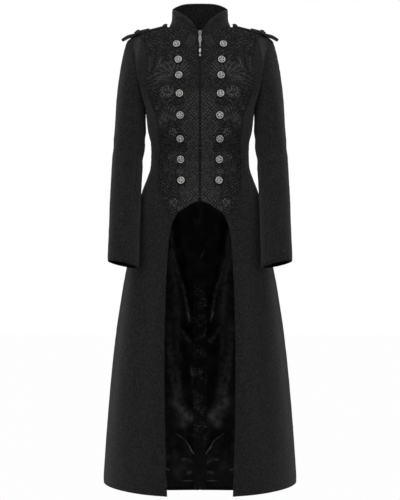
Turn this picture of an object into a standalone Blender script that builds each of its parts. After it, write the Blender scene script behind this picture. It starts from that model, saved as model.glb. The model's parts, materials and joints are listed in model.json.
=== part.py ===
"""Long military coat with a stand collar, a cutaway front and button rows.

The coat is filled out and hollow, as when worn. Its front faces -Y, and the origin
lies between the shoulders, where a wearer holds it up. All tables are in millimetres.
"""

import math
from functools import lru_cache

import bmesh
import bpy
import numpy as np
from mathutils import Matrix, Vector
from mathutils.bvhtree import BVHTree

MM = 0.001

# Driving sizes of the cloth, in millimetres
SHELL = 2.0  # thickness of the coat cloth
COLLAR_CLOTH = 2.6
LINING_CLOTH = 1.0
SEAM_GAP = 0.3  # clearance between two pieces that meet
HEM = -1249.0
OPENING_TIP = -482.0  # top of the pointed cutaway
CORNER = -525.0  # where the damask ends on the cutaway edge
FRONT_EDGE = 2.4  # half the gap that the zip fills
JOIN = -170.0  # where the insert, the damask and the side panel meet
VENT_TOP = -683.0
VENT_OPEN = 1.8

# Height of the hem at degrees from centre front; the back hangs lower
HEM_RUN = ("angle", "height")
HEM_LINE = (
    (0, HEM),
    (30, -1248.5),
    (60, -1245.5),
    (85, -1244.5),
    (105, -1256),
    (125, -1285),
    (145, -1308),
    (160, -1313.5),
    (180, -1314.5),
)

# Sections of the body, from the neck to below the hem
SECTION = ("height", "half_width", "front", "back", "squareness")
SECTIONS = (
    (24, 40, 32, 46, 2.0),
    (10, 62, 44, 58, 2.0),
    (1, 85, 52, 66, 2.0),
    (-4.5, 103, 54, 71, 2.0),
    (-12.5, 135, 57, 77, 2.0),
    (-19, 163, 59, 81, 2.0),
    (-28, 190, 61, 85, 2.0),
    (-38, 200, 63, 88, 2.05),
    (-60, 203.5, 74, 93, 2.1),
    (-80, 203, 83, 96, 2.2),
    (-100, 200, 90, 98, 2.25),
    (-130, 192, 97, 100, 2.3),
    (-160, 182, 102, 101, 2.3),
    (-190, 170, 105, 100, 2.3),
    (-234, 149, 107, 97, 2.3),
    (-262, 146, 106, 94, 2.3),
    (-300, 141, 101, 88, 2.3),
    (-333, 134.8, 95, 80, 2.25),
    (-377, 134.8, 89, 73, 2.2),
    (-421, 147, 93, 90, 2.2),
    (-465, 163.6, 105, 113, 2.2),
    (-560, 181, 122, 138, 2.2),
    (-610, 191, 131, 148, 2.2),
    (-700, 209, 147, 165, 2.2),
    (-900, 238, 182, 192, 2.2),
    (-1100, 255.5, 212, 212, 2.2),
    (-1249, 265.4, 235, 224, 2.2),
    (-1330, 268, 242, 230, 2.2),
)

# How far apart the rows of a panel lie
ROWS = ("height", "spacing")
ROW_SPACING = (
    (20, 20),
    (-60, 26),
    (-200, 34),
    (-300, 30),
    (-390, 26),
    (-470, 34),
    (-600, 70),
    (-800, 100),
    (-1249, 110),
)

# Fullness of the bust, over the princess seam
BUST_SHARE = 0.13
BUST_ANGLE = 38.0
BUST_HEIGHT = -250.0
BUST_SPREAD = (20.0, 68.0)  # degrees round, millimetres up and down

# Seams seen from the front, as heights and distances across: the damask's side edge,
# its edge along the insert, and the insert's edge along the wedge
PRINCESS_LINE = (
    (CORNER, 69.4),
    (-517, 83.8),
    (-493, 98.8),
    (-463, 109.6),
    (-412, 112.5),
    (-374, 111.2),
    (-335, 110.2),
    (-300, 111.2),
    (-257, 117.9),
    (-217, 130),
    (-195, 138.5),
    (JOIN, 147.5),
)
INSERT_LINE = (
    (JOIN, 147.5),
    (-143, 141.5),
    (-113, 138.8),
    (-85, 145.5),
    (-58, 152.5),
    (-38, 157.0),
    (-27, 158.2),
    (-21, 158.6),
)
WEDGE_LINE = (
    (-127, 171.5),
    (-100, 169.3),
    (-74, 166.0),
    (-50, 163.0),
    (-32, 161.6),
    (-23, 161.3),
)
SHOULDER_TOPS = (158.6, 161.3)  # where the insert meets the shoulder seam

# Rows of the fronts beside the zip
FRONT_ROWS = (
    (OPENING_TIP, -470, -452, -430, -403, -372, -338, -303, -262, -226)
    + (-202, -178, -154, -131, -109, -90, -74, -60, -48)
)

# Back princess seam, as heights and distances across, up to the armhole
BACK_SEAM_LINE = (
    (-1285, 128),
    (-1000, 118),
    (-700, 104),
    (-470, 88),
    (-377, 77),
    (-300, 84),
    (-220, 108),
)

# Edge of the cutaway, seen from the front: its arch across and up, its side up and across
CUTAWAY_ARCH = (
    (FRONT_EDGE, OPENING_TIP),
    (13, -484.5),
    (27, -491),
    (40, -499),
    (54, -508.5),
    (69.4, CORNER),
)
CUTAWAY_SIDE = (
    (HEM, 85.2),
    (-1150, 90.2),
    (-1020, 93),
    (-880, 94),
    (-760, 92),
    (-660, 88.8),
    (-586, 83.5),
    (-545, 76.5),
    (CORNER, 69.4),
)

# Armhole, an egg seen from the side, and the seam points round it in degrees
ARM_TOP = -38.0
ARM_LOW = -234.0
ARM_FRONT = 50.0
ARM_BACK = 60.0
ARM_STEPS = (0, 16, 34, 52, 68, 84, 97, 112, 128, 146, 163, 180)
WEDGE_STEP = 84
PANEL_STEP = 97
BACK_STEP = 97  # where the back princess seam starts
SLEEVE_FRONT_STEP = 128
SLEEVE_BACK_STEP = 112
SLEEVE_GAP = 0.5

# Neckline and collar
NECK_ANGLES = (6, 13, 22, 34, 48, 66, 90, 113, 136, 158, 180)
NECK_HALF = 85.0
NECK_FRONT = 62.0
NECK_BACK = 58.0
RIM_HALF = 77.0
RIM_FRONT = 61.0
RIM_BACK = 59.0
COLLAR_LIFT = 0.5  # clearance over the neck seam
COLLAR_SHARES = (0.0, 0.2, 0.5, 1.0)
RIM = ("angle", "height")
RIM_LINE = (
    (0, -17.5),
    (6, -16.6),
    (9, -14.0),
    (13, -7.0),
    (20, 4.0),
    (34, 18.4),
    (54, 33.0),
    (74, 43.5),
    (94, 49.0),
    (107, 56.5),
    (122, 65.0),
    (149, 73.6),
    (180, 75.0),
)

# Sleeve below the armhole: reach from the centre of the coat, depth and lean
SLEEVE = ("height", "inner", "outer", "forward", "depth")
SLEEVE_SECTIONS = (
    (-262, 149.0, 233.5, 0, 59),
    (-289, 147.6, 235.2, 2, 58),
    (-333, 151.0, 238.5, 8, 55),
    (-377, 155.5, 241.0, 20, 52),
    (-432, 158.5, 243.0, 40, 49),
    (-500, 160.5, 244.3, 64, 46.5),
    (-580, 162.0, 245.2, 93, 44.5),
    (-651, 163.0, 246.5, 116, 43),
)
SLEEVE_ROWS = (-289, -333, -377, -432, -500, -580, -651)
CAP_SHARES = (0.12, 0.28, 0.5, 0.75, 1.0)
CUFF_SLOPE = 0.17  # the back of the cuff hangs lower than its front
CUFF_TILT = 0.2  # and its inner side lower than the outer

# Relief buttons on the left front, as distances across and heights
BUTTON_PLACES = (
    (62.8, -58.5),
    (57.9, -102.5),
    (56.2, -145.5),
    (54.9, -195.5),
    (53.1, -253.5),
    (52.8, -314.5),
    (50.9, -369.5),
    (50.1, -427.0),
)
BUTTON_PROFILE = ((0, 6.0), (5.5, 5.4), (10, 4.2), (10, 2.7), (4, 1.9), (4, 0.3), (0, 0.3))
SHANK = 4.0
BUTTON_SIDES = 12

# Shoulder straps
STRAP_STAND = 0.9
TAB_STAND = 0.6
STRAP_THICK = 4.4
TAB_THICK = 3.0
KEEPER_THICK = 2.4
STRAP_BEND = 180.0  # past this the strap stands off the shoulder
STRAP = ("across", "half_width", "drop")
STRAP_LINE = (
    (89, 8, 0),
    (92, 13, 0),
    (98, 16.5, 0),
    (110, 18, 0),
    (135, 19, 0),
    (160, 20, 0),
    (180, 21, 0),
    (195, 21, -2.5),
    (205, 20, -8.5),
    (210, 17, -12.5),
    (213, 11, -15),
)
TAB_LINE = (
    (137, 7, 0),
    (139, 11, 0),
    (144, 13, 0),
    (172, 14, 0),
    (178, 14, 0),
)
KEEPER_ENDS = (163.0, 173.0)
KEEPER_PROFILE = (
    (-24.0, 2.5),
    (-22.2, 5.0),
    (-16.5, 5.4),
    (-14.8, 8.9),
    (0.0, 9.0),
    (14.8, 8.9),
    (16.5, 5.4),
    (22.2, 5.0),
    (24.0, 2.5),
)
STRAP_BUTTON = 94.0
STRAP_BUTTON_PROFILE = ((0, 5.6), (3.6, 5.1), (6.4, 3.4), (7.5, 1.6), (7.0, 0.3), (0, 0.3))

# Zip
ZIP_LOW = -473.0
ZIP_TOP = (-41, -34, -27, -19)  # its rows above those of the fronts
ZIP_MIDDLE = 0.15
TAPE_WIDTH = 13.0
TAPE_THICK = 1.0
TAPE_DEPTH = 3.1  # below the outer face of the fronts
TEETH_WIDTH = 2.0
TEETH_DEPTH = 0.7

# Slider, pull and drop
SLIDER_HALF = 4.2
SLIDER_ENDS = (-30.5, -20.0)
SLIDER_FACE = -65.0
SLIDER_THICK = 2.6
BRIDGE_REACH = 3.5
BRIDGE_WIRE = 0.6
BRIDGE_ENDS = (-28.0, -21.3)
HINGE_HEIGHT = -24.3
HINGE_REACH = 1.65  # in front of the slider's face
PULL_THICK = 1.5
# Half outline of the pull, as distances below the hinge and half widths
PULL_OUTLINE = (
    (-0.8, 2.6),
    (0.6, 3.1),
    (5.0, 3.1),
    (6.6, 2.2),
    (8.5, 1.5),
    (11.5, 2.6),
    (16.0, 4.2),
    (22.0, 4.6),
    (28.6, 3.6),
    (34.0, 2.0),
    (36.6, 1.6),
    (38.85, 2.7),
    (41.35, 3.0),
    (43.45, 2.2),
    (44.3, 1.0),
)
PULL_SLOT = ((0.85, 5.6), 1.5)  # its ends below the hinge and its half width
PULL_EYE = (41.45, 1.25)
PULL_LEAN = 19.5  # it lies outwards on the chest, in degrees
DROP_HINGE = 43.5  # middle of the bar below the eye, which the ring goes round
DROP_LEAN = 2.5
DROP_RING = (2.1, 0.6)
DROP_PROFILE = (
    (0, 1.0),
    (0.9, 0.6),
    (1.0, -1.2),
    (2.8, -4.4),
    (3.9, -9.2),
    (3.1, -14.4),
    (1.2, -18.6),
    (1.2, -20.2),
    (2.9, -22.2),
    (3.4, -24.8),
    (2.5, -27.5),
    (0, -28.8),
)

# Lining: soft folds that run down the skirt and towards its centre back
LINING_TOP = -452.0
LINING_HEM = 24.0  # it ends above the hem
LINING_GAP = 2.3
LINING_FRONT = 44.0  # degrees from centre front
LINING_COLUMNS = 19
LINING_ROWS = 12
FOLD = ("top", "top_angle", "low", "low_angle", "width", "depth")
FOLDS = (
    (-500, 140, -900, 168, 6.0, 13.0),
    (-740, 144, -1120, 162, 6.5, 13.0),
    (-560, 120, -1290, 142, 7.5, 15.0),
    (-600, 98, -1290, 121, 8.0, 15.0),
    (-540, 80, -1290, 99, 8.0, 14.0),
    (-680, 64, -1290, 78, 8.0, 12.0),
    (-1080, 168, -1290, 166, 6.0, 10.0),
)
FOLD_ENDS = 90.0  # height over which a fold rises and dies away
FACING_HALF = 20.0  # vent facing, to each side of the centre back
FACING_FLAT = (23.0, 35.0)  # the folds die away beside it
FACING_GAP = 1.0
FACING_ROWS = 10

FINISHES = {
    "wool": ((0.012, 0.012, 0.013, 1.0), 0.95, 0.0),
    "damask": ((0.018, 0.018, 0.019, 1.0), 0.7, 0.0),
    "leather": ((0.020, 0.020, 0.021, 1.0), 0.45, 0.0),
    "satin": ((0.006, 0.006, 0.007, 1.0), 0.3, 0.0),
    "zip_tape": ((0.010, 0.010, 0.010, 1.0), 0.8, 0.0),
    "old_silver": ((0.25, 0.25, 0.24, 1.0), 0.4, 1.0),
}


def clear_scene():
    for thing in list(bpy.data.objects):
        bpy.data.objects.remove(thing, do_unlink=True)


def finish(name):
    """The material of that name, made once."""
    made = bpy.data.materials.get(name)
    if made:
        return made
    colour, roughness, metallic = FINISHES[name]
    made = bpy.data.materials.new(name)
    made.use_nodes = True
    shader = made.node_tree.nodes["Principled BSDF"]
    shader.inputs["Base Color"].default_value = colour
    shader.inputs["Roughness"].default_value = roughness
    shader.inputs["Metallic"].default_value = metallic
    made.diffuse_color = colour
    return made


def bends_of(known, values):
    """Slope at each known point of a curve that never overshoots."""
    step = np.diff(known)
    slope = np.diff(values) / step
    bend = np.concatenate([slope[:1], np.zeros(len(slope) - 1), slope[-1:]])
    for i in range(1, len(slope)):
        if slope[i - 1] * slope[i] > 0:
            far, near = 2 * step[i] + step[i - 1], step[i] + 2 * step[i - 1]
            bend[i] = (far + near) / (far / slope[i - 1] + near / slope[i])
    return bend


def on_curve(known, values, bend, at):
    at = min(max(at, known[0]), known[-1])
    i = min(max(int(np.searchsorted(known, at)) - 1, 0), len(known) - 2)
    step = known[i + 1] - known[i]
    t = (at - known[i]) / step
    ends = (2 * t**3 - 3 * t**2 + 1) * values[i] + (3 * t**2 - 2 * t**3) * values[i + 1]
    bends = (t**3 - 2 * t**2 + t) * bend[i] + (t**3 - t**2) * bend[i + 1]
    return float(ends + bends * step)


def smooth_curve(known, values, at):
    """Value at a place on the smooth curve through known points."""
    order = np.argsort(known)
    known = np.asarray(known, float)[order]
    values = np.asarray(values, float)[order]
    return on_curve(known, values, bends_of(known, values), at)


@lru_cache(maxsize=None)
def table_curve(table, names, name):
    place = names.index(name)
    rows = sorted(table)
    known = np.array([row[0] for row in rows], float)
    values = np.array([row[place] for row in rows], float)
    return known, values, bends_of(known, values)


def read(table, names, name, at):
    """A column of a table, read at a value of the table's first column."""
    return on_curve(*table_curve(table, names, name), at)


def body_point(angle, height):
    """Outer face of the coat, at degrees from centre front and a height."""
    turn = math.radians(angle)
    across, along = abs(math.sin(turn)), abs(math.cos(turn))
    power = read(SECTIONS, SECTION, "squareness", height)
    depth_name = "front" if math.cos(turn) > 0 else "back"
    half = read(SECTIONS, SECTION, "half_width", height)
    depth = read(SECTIONS, SECTION, depth_name, height)
    reach = ((across / half) ** power + (along / depth) ** power) ** (-1 / power)
    round_share = ((abs(angle) - BUST_ANGLE) / BUST_SPREAD[0]) ** 2
    high_share = ((height - BUST_HEIGHT) / BUST_SPREAD[1]) ** 2
    reach *= 1 + BUST_SHARE * math.exp(-round_share - high_share)
    return np.array([reach * math.sin(turn), -reach * math.cos(turn), height])


def body_normal(angle, height):
    """Outward direction of the coat's face there."""
    round_way = body_point(angle + 0.4, height) - body_point(angle - 0.4, height)
    up_way = body_point(angle, height + 0.8) - body_point(angle, height - 0.8)
    way = np.cross(round_way, up_way)
    return way / np.linalg.norm(way)


def front_angle(across, height):
    """Angle on the front half at which the face is that far from the centre."""
    low, high = 0.0, 90.0
    for _ in range(40):
        middle = (low + high) / 2
        if body_point(middle, height)[0] < across:
            low = middle
        else:
            high = middle
    return (low + high) / 2


def back_angle(across, height):
    """The same on the back half."""
    low, high = 90.0, 180.0
    for _ in range(40):
        middle = (low + high) / 2
        if body_point(middle, height)[0] > across:
            low = middle
        else:
            high = middle
    return (low + high) / 2


def neck_height(angle):
    """Height at which the face reaches the neck opening."""
    turn = math.radians(angle)
    depth = NECK_FRONT if math.cos(turn) > 0 else NECK_BACK
    reach = math.hypot(math.sin(turn) / NECK_HALF, math.cos(turn) / depth) ** -1
    low, high = -60.0, 20.0
    for _ in range(40):
        middle = (low + high) / 2
        point = body_point(angle, middle)
        if math.hypot(point[0], point[1]) > reach:
            low = middle
        else:
            high = middle
    return (low + high) / 2


def shoulder_place(across):
    """Place on the shoulder seam that far from the centre."""
    low, high = ARM_TOP, 6.0
    for _ in range(40):
        middle = (low + high) / 2
        if read(SECTIONS, SECTION, "half_width", middle) > across:
            low = middle
        else:
            high = middle
    return 90.0, (low + high) / 2


def arm_place(step):
    """Place on the coat's face of a point of the armhole, front steps positive."""
    turn = math.radians(step)
    reach = ARM_FRONT if step >= 0 else ARM_BACK
    height = (ARM_TOP + ARM_LOW) / 2 + (ARM_TOP - ARM_LOW) / 2 * math.cos(turn)
    forward = -reach * math.sin(abs(turn)) * (1 if step >= 0 else -1)
    if abs(forward) < 1e-6:
        return 90.0, height
    low, high = (0.0, 90.0) if step > 0 else (90.0, 180.0)
    for _ in range(40):
        middle = (low + high) / 2
        if body_point(middle, height)[1] < forward:
            low = middle
        else:
            high = middle
    return (low + high) / 2, height


def arm_way(step):
    """Direction that both cloths share at the armhole seam."""
    turn = math.radians(step)
    return np.array([0.0, -math.sin(turn), math.cos(turn)])


def arm_run(start, end):
    """Seam points of the armhole from one step to another, ends included."""
    low, high = min(start, end), max(start, end)
    steps = [s for s in ARM_STEPS if low <= s <= high]
    steps += [-s for s in ARM_STEPS if low <= -s <= high and s not in (0, 180)]
    if low <= -180:
        steps.append(-180)
    return sorted(set(steps), reverse=start > end)


class Place:
    """A point of the coat's face: where it is and which way the cloth is thick."""

    def __init__(self, angle, height, way=None):
        self.angle = angle
        self.height = height
        self.point = body_point(angle, height)
        self.way = body_normal(angle, height) if way is None else way


def arm_places(start, end):
    return [Place(*arm_place(s), arm_way(s)) for s in arm_run(start, end)]


def front_places(line):
    """Places along a line of heights and distances across."""
    return [Place(front_angle(across, height), height) for height, across in line]


def blend_edges(low, high, left, right, columns):
    """Two numbers at each inner point of a grid, from those on its four edges."""
    rows = len(left)
    grid = np.zeros((rows, columns, 2))
    for i in range(rows):
        v = i / (rows - 1)
        for j in range(columns):
            u = j / (columns - 1)
            up = (1 - v) * low[j] + v * high[j]
            over = (1 - u) * left[i] + u * right[i]
            corners = (1 - u) * ((1 - v) * low[0] + v * high[0])
            corners = corners + u * ((1 - v) * low[-1] + v * high[-1])
            grid[i, j] = up + over - corners
    return grid


def patch(low, high, left, right, seen_from="round"):
    """Grid of places between four seams that share their corners."""
    if seen_from == "round":
        numbers = [[np.array([p.angle, p.height]) for p in side] for side in (low, high, left, right)]
    else:
        numbers = [[np.array([p.point[0], p.height]) for p in side] for side in (low, high, left, right)]
    grid = blend_edges(*numbers, len(low))
    rows, columns = len(left), len(low)
    places = []
    for i in range(rows):
        row = []
        for j in range(columns):
            edge = {0: left[i], columns - 1: right[i]}.get(j) or {0: low[j], rows - 1: high[j]}.get(i)
            if edge:
                row.append(edge)
            elif seen_from == "round":
                row.append(Place(grid[i, j, 0], grid[i, j, 1]))
            elif seen_from == "front":
                row.append(Place(front_angle(*grid[i, j]), grid[i, j, 1]))
            else:
                row.append(Place(back_angle(*grid[i, j]), grid[i, j, 1]))
        places.append(row)
    return places


def points_of(places):
    return np.array([[p.point for p in row] for row in places])


def ways_of(places):
    return np.array([[p.way for p in row] for row in places])


def unit(vectors):
    return vectors / np.maximum(np.linalg.norm(vectors, axis=-1, keepdims=True), 1e-12)


def edge_step(points, ways, edges, gap=SEAM_GAP):
    """How each edge point moves inwards, square to its seam, by half the gap."""
    move = np.zeros_like(points)
    rows, columns = points.shape[:2]
    sides = {
        "low": (points[0], ways[0], points[1], (0, slice(None))),
        "high": (points[-1], ways[-1], points[-2], (rows - 1, slice(None))),
        "left": (points[:, 0], ways[:, 0], points[:, 1], (slice(None), 0)),
        "right": (points[:, -1], ways[:, -1], points[:, -2], (slice(None), columns - 1)),
    }
    for side, (line, thick, inner, place) in sides.items():
        if side not in edges:
            continue
        along = unit(np.gradient(line, axis=0))
        square = unit(np.cross(thick, along))
        towards = np.sign(np.sum(square * (inner - line), axis=-1, keepdims=True))
        towards[towards == 0] = 1
        move[place] += square * towards * gap / 2
    return move


def wall_mesh(name, points, ways, thickness):
    """Closed wall of cloth: outer points, inner points moved back, and the edge."""
    rows, columns = points.shape[:2]
    outer = points.reshape(-1, 3)
    inner = (points - ways * thickness).reshape(-1, 3)
    mesh = bpy.data.meshes.new(name)
    shape = bmesh.new()
    verts = [shape.verts.new(Vector(p) * MM) for p in np.concatenate([outer, inner])]
    count = rows * columns

    def at(i, j, side):
        return verts[side * count + i * columns + j]

    for i in range(rows - 1):
        for j in range(columns - 1):
            shape.faces.new([at(i, j, 0), at(i, j + 1, 0), at(i + 1, j + 1, 0), at(i + 1, j, 0)])
            shape.faces.new([at(i, j, 1), at(i + 1, j, 1), at(i + 1, j + 1, 1), at(i, j + 1, 1)])
    rim = [(0, j) for j in range(columns)]
    rim += [(i, columns - 1) for i in range(1, rows)]
    rim += [(rows - 1, j) for j in range(columns - 2, -1, -1)]
    rim += [(i, 0) for i in range(rows - 2, 0, -1)]
    for here, there in zip(rim, rim[1:] + rim[:1]):
        shape.faces.new([at(*here, 0), at(*here, 1), at(*there, 1), at(*there, 0)])
    if shape.calc_volume(signed=True) < 0:
        bmesh.ops.reverse_faces(shape, faces=shape.faces)
    shape.to_mesh(mesh)
    shape.free()
    return mesh


def add_part(name, mesh, material):
    part = bpy.data.objects.new(name, mesh)
    mesh.materials.append(finish(material))
    mesh.shade_smooth()
    mesh.set_sharp_from_angle(angle=math.radians(40))
    bpy.data.collections["military_coat"].objects.link(part)
    return part


def mirrored(points):
    """Points of the other side of the coat."""
    return points * np.array([-1.0, 1.0, 1.0])


def cloth_pair(stem, points, ways, thickness, material):
    """A piece for each side of the coat, the wearer's right being at -X."""
    add_part(stem + "_left", wall_mesh(stem + "_left", points, ways, thickness), material)
    other = wall_mesh(stem + "_right", mirrored(points), mirrored(ways), thickness)
    add_part(stem + "_right", other, material)


def panel_pair(stem, places, material, seams=("low", "high", "left", "right")):
    """The two pieces of a body panel, drawn in from the seams named."""
    points, ways = points_of(places), ways_of(places)
    points = points + edge_step(points, ways, seams)
    cloth_pair(stem, points, ways, SHELL, material)


def neck_places(angles):
    return [Place(angle, neck_height(angle)) for angle in angles]


def centre_front_places():
    """Front edge beside the zip, from the cutaway up to the neck."""
    places = front_places([(height, FRONT_EDGE) for height in FRONT_ROWS])
    angle = math.degrees(math.asin(FRONT_EDGE / NECK_FRONT))
    return places + [Place(angle, neck_height(angle))]


def build_body():
    """Body panels, all on one face, with their seams in common."""
    princess = front_places(PRINCESS_LINE)
    shoulder = {x: Place(*shoulder_place(x)) for x in (103, 132, *SHOULDER_TOPS, 183)}
    tip = arm_places(0, 0)[0]
    insert_top = shoulder[SHOULDER_TOPS[0]]
    insert = front_places(INSERT_LINE[1:]) + [insert_top]

    centre = centre_front_places()
    damask_side = princess + insert
    neck = [centre[-1]] + neck_places([a for a in NECK_ANGLES if 0 < a < 90])
    neck_side = Place(90.0, neck_height(90.0))
    damask_top = neck + [neck_side, shoulder[103], shoulder[132], insert_top]
    arch = [Place(front_angle(x, z), z) for x, z in CUTAWAY_ARCH]
    damask_low = resample(arch, len(damask_top), princess[0])
    damask_low[0] = centre[0]
    centre = fit_rows(centre, len(damask_side))
    panel_pair("centre_front", patch(damask_low, damask_top, centre, damask_side, "front"), "damask")

    wedge_line = front_places(WEDGE_LINE) + [shoulder[SHOULDER_TOPS[1]]]
    arm_wedge = arm_places(WEDGE_STEP, 0)
    wedge_low = between(arm_wedge[0], wedge_line[0], 4)
    wedge_top = [tip, shoulder[183], between(shoulder[183], wedge_line[-1], 3)[1], wedge_line[-1]]
    wedge = patch(wedge_low, wedge_top, arm_wedge, wedge_line, "front")
    panel_pair("shoulder_wedge", wedge, "leather")

    insert_side = [arm_places(PANEL_STEP, PANEL_STEP)[0], arm_wedge[0]] + wedge_line
    insert_low = between(insert_side[0], princess[-1], 3)
    insert_high = between(insert_side[-1], insert_top, 3)
    insert_right = [princess[-1]] + insert
    insert_right = fit_rows(insert_right, len(insert_side))
    panel_pair("armhole_insert", patch(insert_low, insert_high, insert_side, insert_right, "front"), "wool")

    cutaway = [Place(front_angle(x, z), z) for z, x in CUTAWAY_SIDE]
    front_side = cutaway[:-1] + princess
    top = insert_low[::-1] + arm_places(PANEL_STEP, 180)[1:]
    side_heights = spread_heights(hem_height(90.0), ARM_LOW, len(front_side))
    side_seam = [Place(90.0, z) for z in side_heights[:-1]] + [arm_places(180, 180)[0]]
    hem = hem_places(front_side[0].angle, 90.0, len(top))
    hem[0] = front_side[0]
    hem[-1] = side_seam[0]
    panel_pair("side_front", patch(hem, top, front_side, side_seam), "wool")

    arm_back = arm_places(-180, -BACK_STEP)
    back_start = arm_back[-1]
    back_line = back_princess_places(back_start, len(front_side))
    hem = hem_places(90.0, back_line[0].angle, len(arm_back))
    hem[0] = side_seam[0]
    hem[-1] = back_line[0]
    panel_pair("side_back", patch(hem, arm_back, side_seam, back_line), "wool")

    arm_rest = arm_places(-BACK_STEP, 0)
    outer = back_line + arm_rest[1:]
    back_neck = neck_places([a for a in NECK_ANGLES if a > 90])[::-1]
    back_top = back_neck + [neck_side, shoulder[103], shoulder[132], insert_top]
    back_top += [shoulder[SHOULDER_TOPS[1]], wedge_top[2], wedge_top[1], tip]
    heights = spread_heights(hem_height(180.0), back_neck[0].height, len(outer))
    centre_back = [Place(back_angle(vent_half(z), z), z) for z in heights]
    centre_back[-1] = back_neck[0]
    hem = hem_places(centre_back[0].angle, back_line[0].angle, len(back_top))
    hem[0] = centre_back[0]
    hem[-1] = back_line[0]
    panel_pair("back", patch(hem, back_top, centre_back, outer, "back"), "wool")


def between(start, end, count):
    """Places from one to another over the coat's face, both included."""
    shares = np.linspace(0, 1, count)
    inner = []
    for share in shares[1:-1]:
        across = (1 - share) * start.point[0] + share * end.point[0]
        height = (1 - share) * start.height + share * end.height
        if start.angle >= 89.99 and end.angle >= 89.99:
            inner.append(Place(*shoulder_place(across)))
        else:
            inner.append(Place(front_angle(across, height), height))
    return [start] + inner + [end]


def resample(places, count, last):
    """As many places as asked, spread along the same line."""
    points = np.array([p.point for p in places])
    along = np.concatenate([[0], np.cumsum(np.linalg.norm(np.diff(points, axis=0), axis=1))])
    angles = [p.angle for p in places]
    heights = [p.height for p in places]
    run = np.linspace(0, along[-1], count)
    made = []
    for at in run:
        height = smooth_curve(along, heights, at)
        made.append(Place(smooth_curve(along, angles, at), height))
    made[-1] = last
    return made


def fit_rows(places, count):
    """The same line with another number of places, its ends kept."""
    if len(places) == count:
        return places
    made = resample(places, count, places[-1])
    made[0] = places[0]
    return made


def spread_heights(low, high, count):
    """Heights closer together where the coat bends more."""
    fine = np.linspace(low, high, 200)
    dense = [1 / read(ROW_SPACING, ROWS, "spacing", (a + b) / 2) for a, b in zip(fine, fine[1:])]
    total = np.concatenate([[0], np.cumsum(dense)])
    return list(np.interp(np.linspace(0, total[-1], count), total, fine))


def vent_half(height):
    """Half the width of the vent, which opens towards the hem."""
    return VENT_OPEN * max(0.0, (VENT_TOP - height) / (VENT_TOP - HEM))


def hem_height(angle):
    return read(HEM_LINE, HEM_RUN, "height", angle)


def hem_places(start, end, count):
    angles = np.linspace(start, end, count)
    return [Place(angle, hem_height(angle)) for angle in angles]


def back_princess_places(start, count):
    """Seam from the back of the armhole through the waist to the hem."""
    known = [row[0] for row in BACK_SEAM_LINE] + [start.height]
    across = [row[1] for row in BACK_SEAM_LINE] + [start.point[0]]
    low_angle = back_angle(across[0], known[0])
    heights = spread_heights(hem_height(low_angle), start.height, count)
    places = [Place(low_angle, heights[0])]
    for height in heights[1:-1]:
        places.append(Place(back_angle(smooth_curve(known, across, height), height), height))
    return places + [start]


def collar_point(angle, share):
    """Outer face of the collar, from the neck seam at 0 to the rim at 1."""
    turn = math.radians(angle)
    neck_depth, rim_depth = (NECK_FRONT, RIM_FRONT) if math.cos(turn) > 0 else (NECK_BACK, RIM_BACK)
    low = 1 / math.hypot(math.sin(turn) / NECK_HALF, math.cos(turn) / neck_depth)
    high = 1 / math.hypot(math.sin(turn) / RIM_HALF, math.cos(turn) / rim_depth)
    reach = high + (low - high) * (1 - share) ** 2.4
    bottom = neck_height(angle)
    top = read(RIM_LINE, RIM, "height", angle)
    height = bottom + COLLAR_LIFT + (top - bottom - COLLAR_LIFT) * share
    return np.array([reach * math.sin(turn), -reach * math.cos(turn), height])


def grid_ways(points, closed=False):
    """Outward directions of a grid, from its own rows and columns."""
    up = np.gradient(points, axis=0)
    if closed:
        over = np.roll(points, -1, axis=1) - np.roll(points, 1, axis=1)
    else:
        over = np.gradient(points, axis=1)
    return unit(np.cross(over, up))


def build_collar():
    """Stand collar in one piece, its front edges curving apart from the zip."""
    first = math.degrees(math.asin(FRONT_EDGE / NECK_FRONT))
    half = [first] + list(NECK_ANGLES)
    right = [[collar_point(angle, share) for angle in half] for share in COLLAR_SHARES]
    right = np.array(right)
    left = mirrored(right)[:, -2::-1]
    points = np.concatenate([right, left], axis=1)
    ways = grid_ways(points)
    add_part("collar", wall_mesh("collar", points, ways, COLLAR_CLOTH), "wool")


def sleeve_point(step, height):
    """Outer face of the sleeve below the armhole, at degrees round from its outer side."""
    turn = math.radians(step)
    inner = read(SLEEVE_SECTIONS, SLEEVE, "inner", height)
    outer = read(SLEEVE_SECTIONS, SLEEVE, "outer", height)
    forward = read(SLEEVE_SECTIONS, SLEEVE, "forward", height)
    depth = read(SLEEVE_SECTIONS, SLEEVE, "depth", height)
    share = (SLEEVE_SECTIONS[0][0] - height) / (SLEEVE_SECTIONS[0][0] - SLEEVE_SECTIONS[-1][0])
    across = (outer - inner) / 2 * math.cos(turn)
    along = depth * math.sin(turn)
    lean = share * (CUFF_SLOPE * along + CUFF_TILT * across)
    return np.array([(inner + outer) / 2 + across, -forward - along, height + lean])


def cap_point(step, share):
    """Sleeve head, from the armhole at 0 to the first full section at 1."""
    turn = math.radians(step)
    start = body_point(*arm_place(step))
    end = sleeve_point(step, SLEEVE_SECTIONS[0][0])
    high = math.cos(turn / 2) ** 2
    push = np.array([60 * high + 22 * math.sin(turn) ** 2, -18 * math.sin(turn), -28 - 112 * high])
    hang = np.array([10 * high, 0.0, -26 - 194 * high])
    s = share
    ends = (2 * s**3 - 3 * s**2 + 1) * start + (3 * s**2 - 2 * s**3) * end
    return ends + (s**3 - 2 * s**2 + s) * push + (s**3 - s**2) * hang


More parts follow.
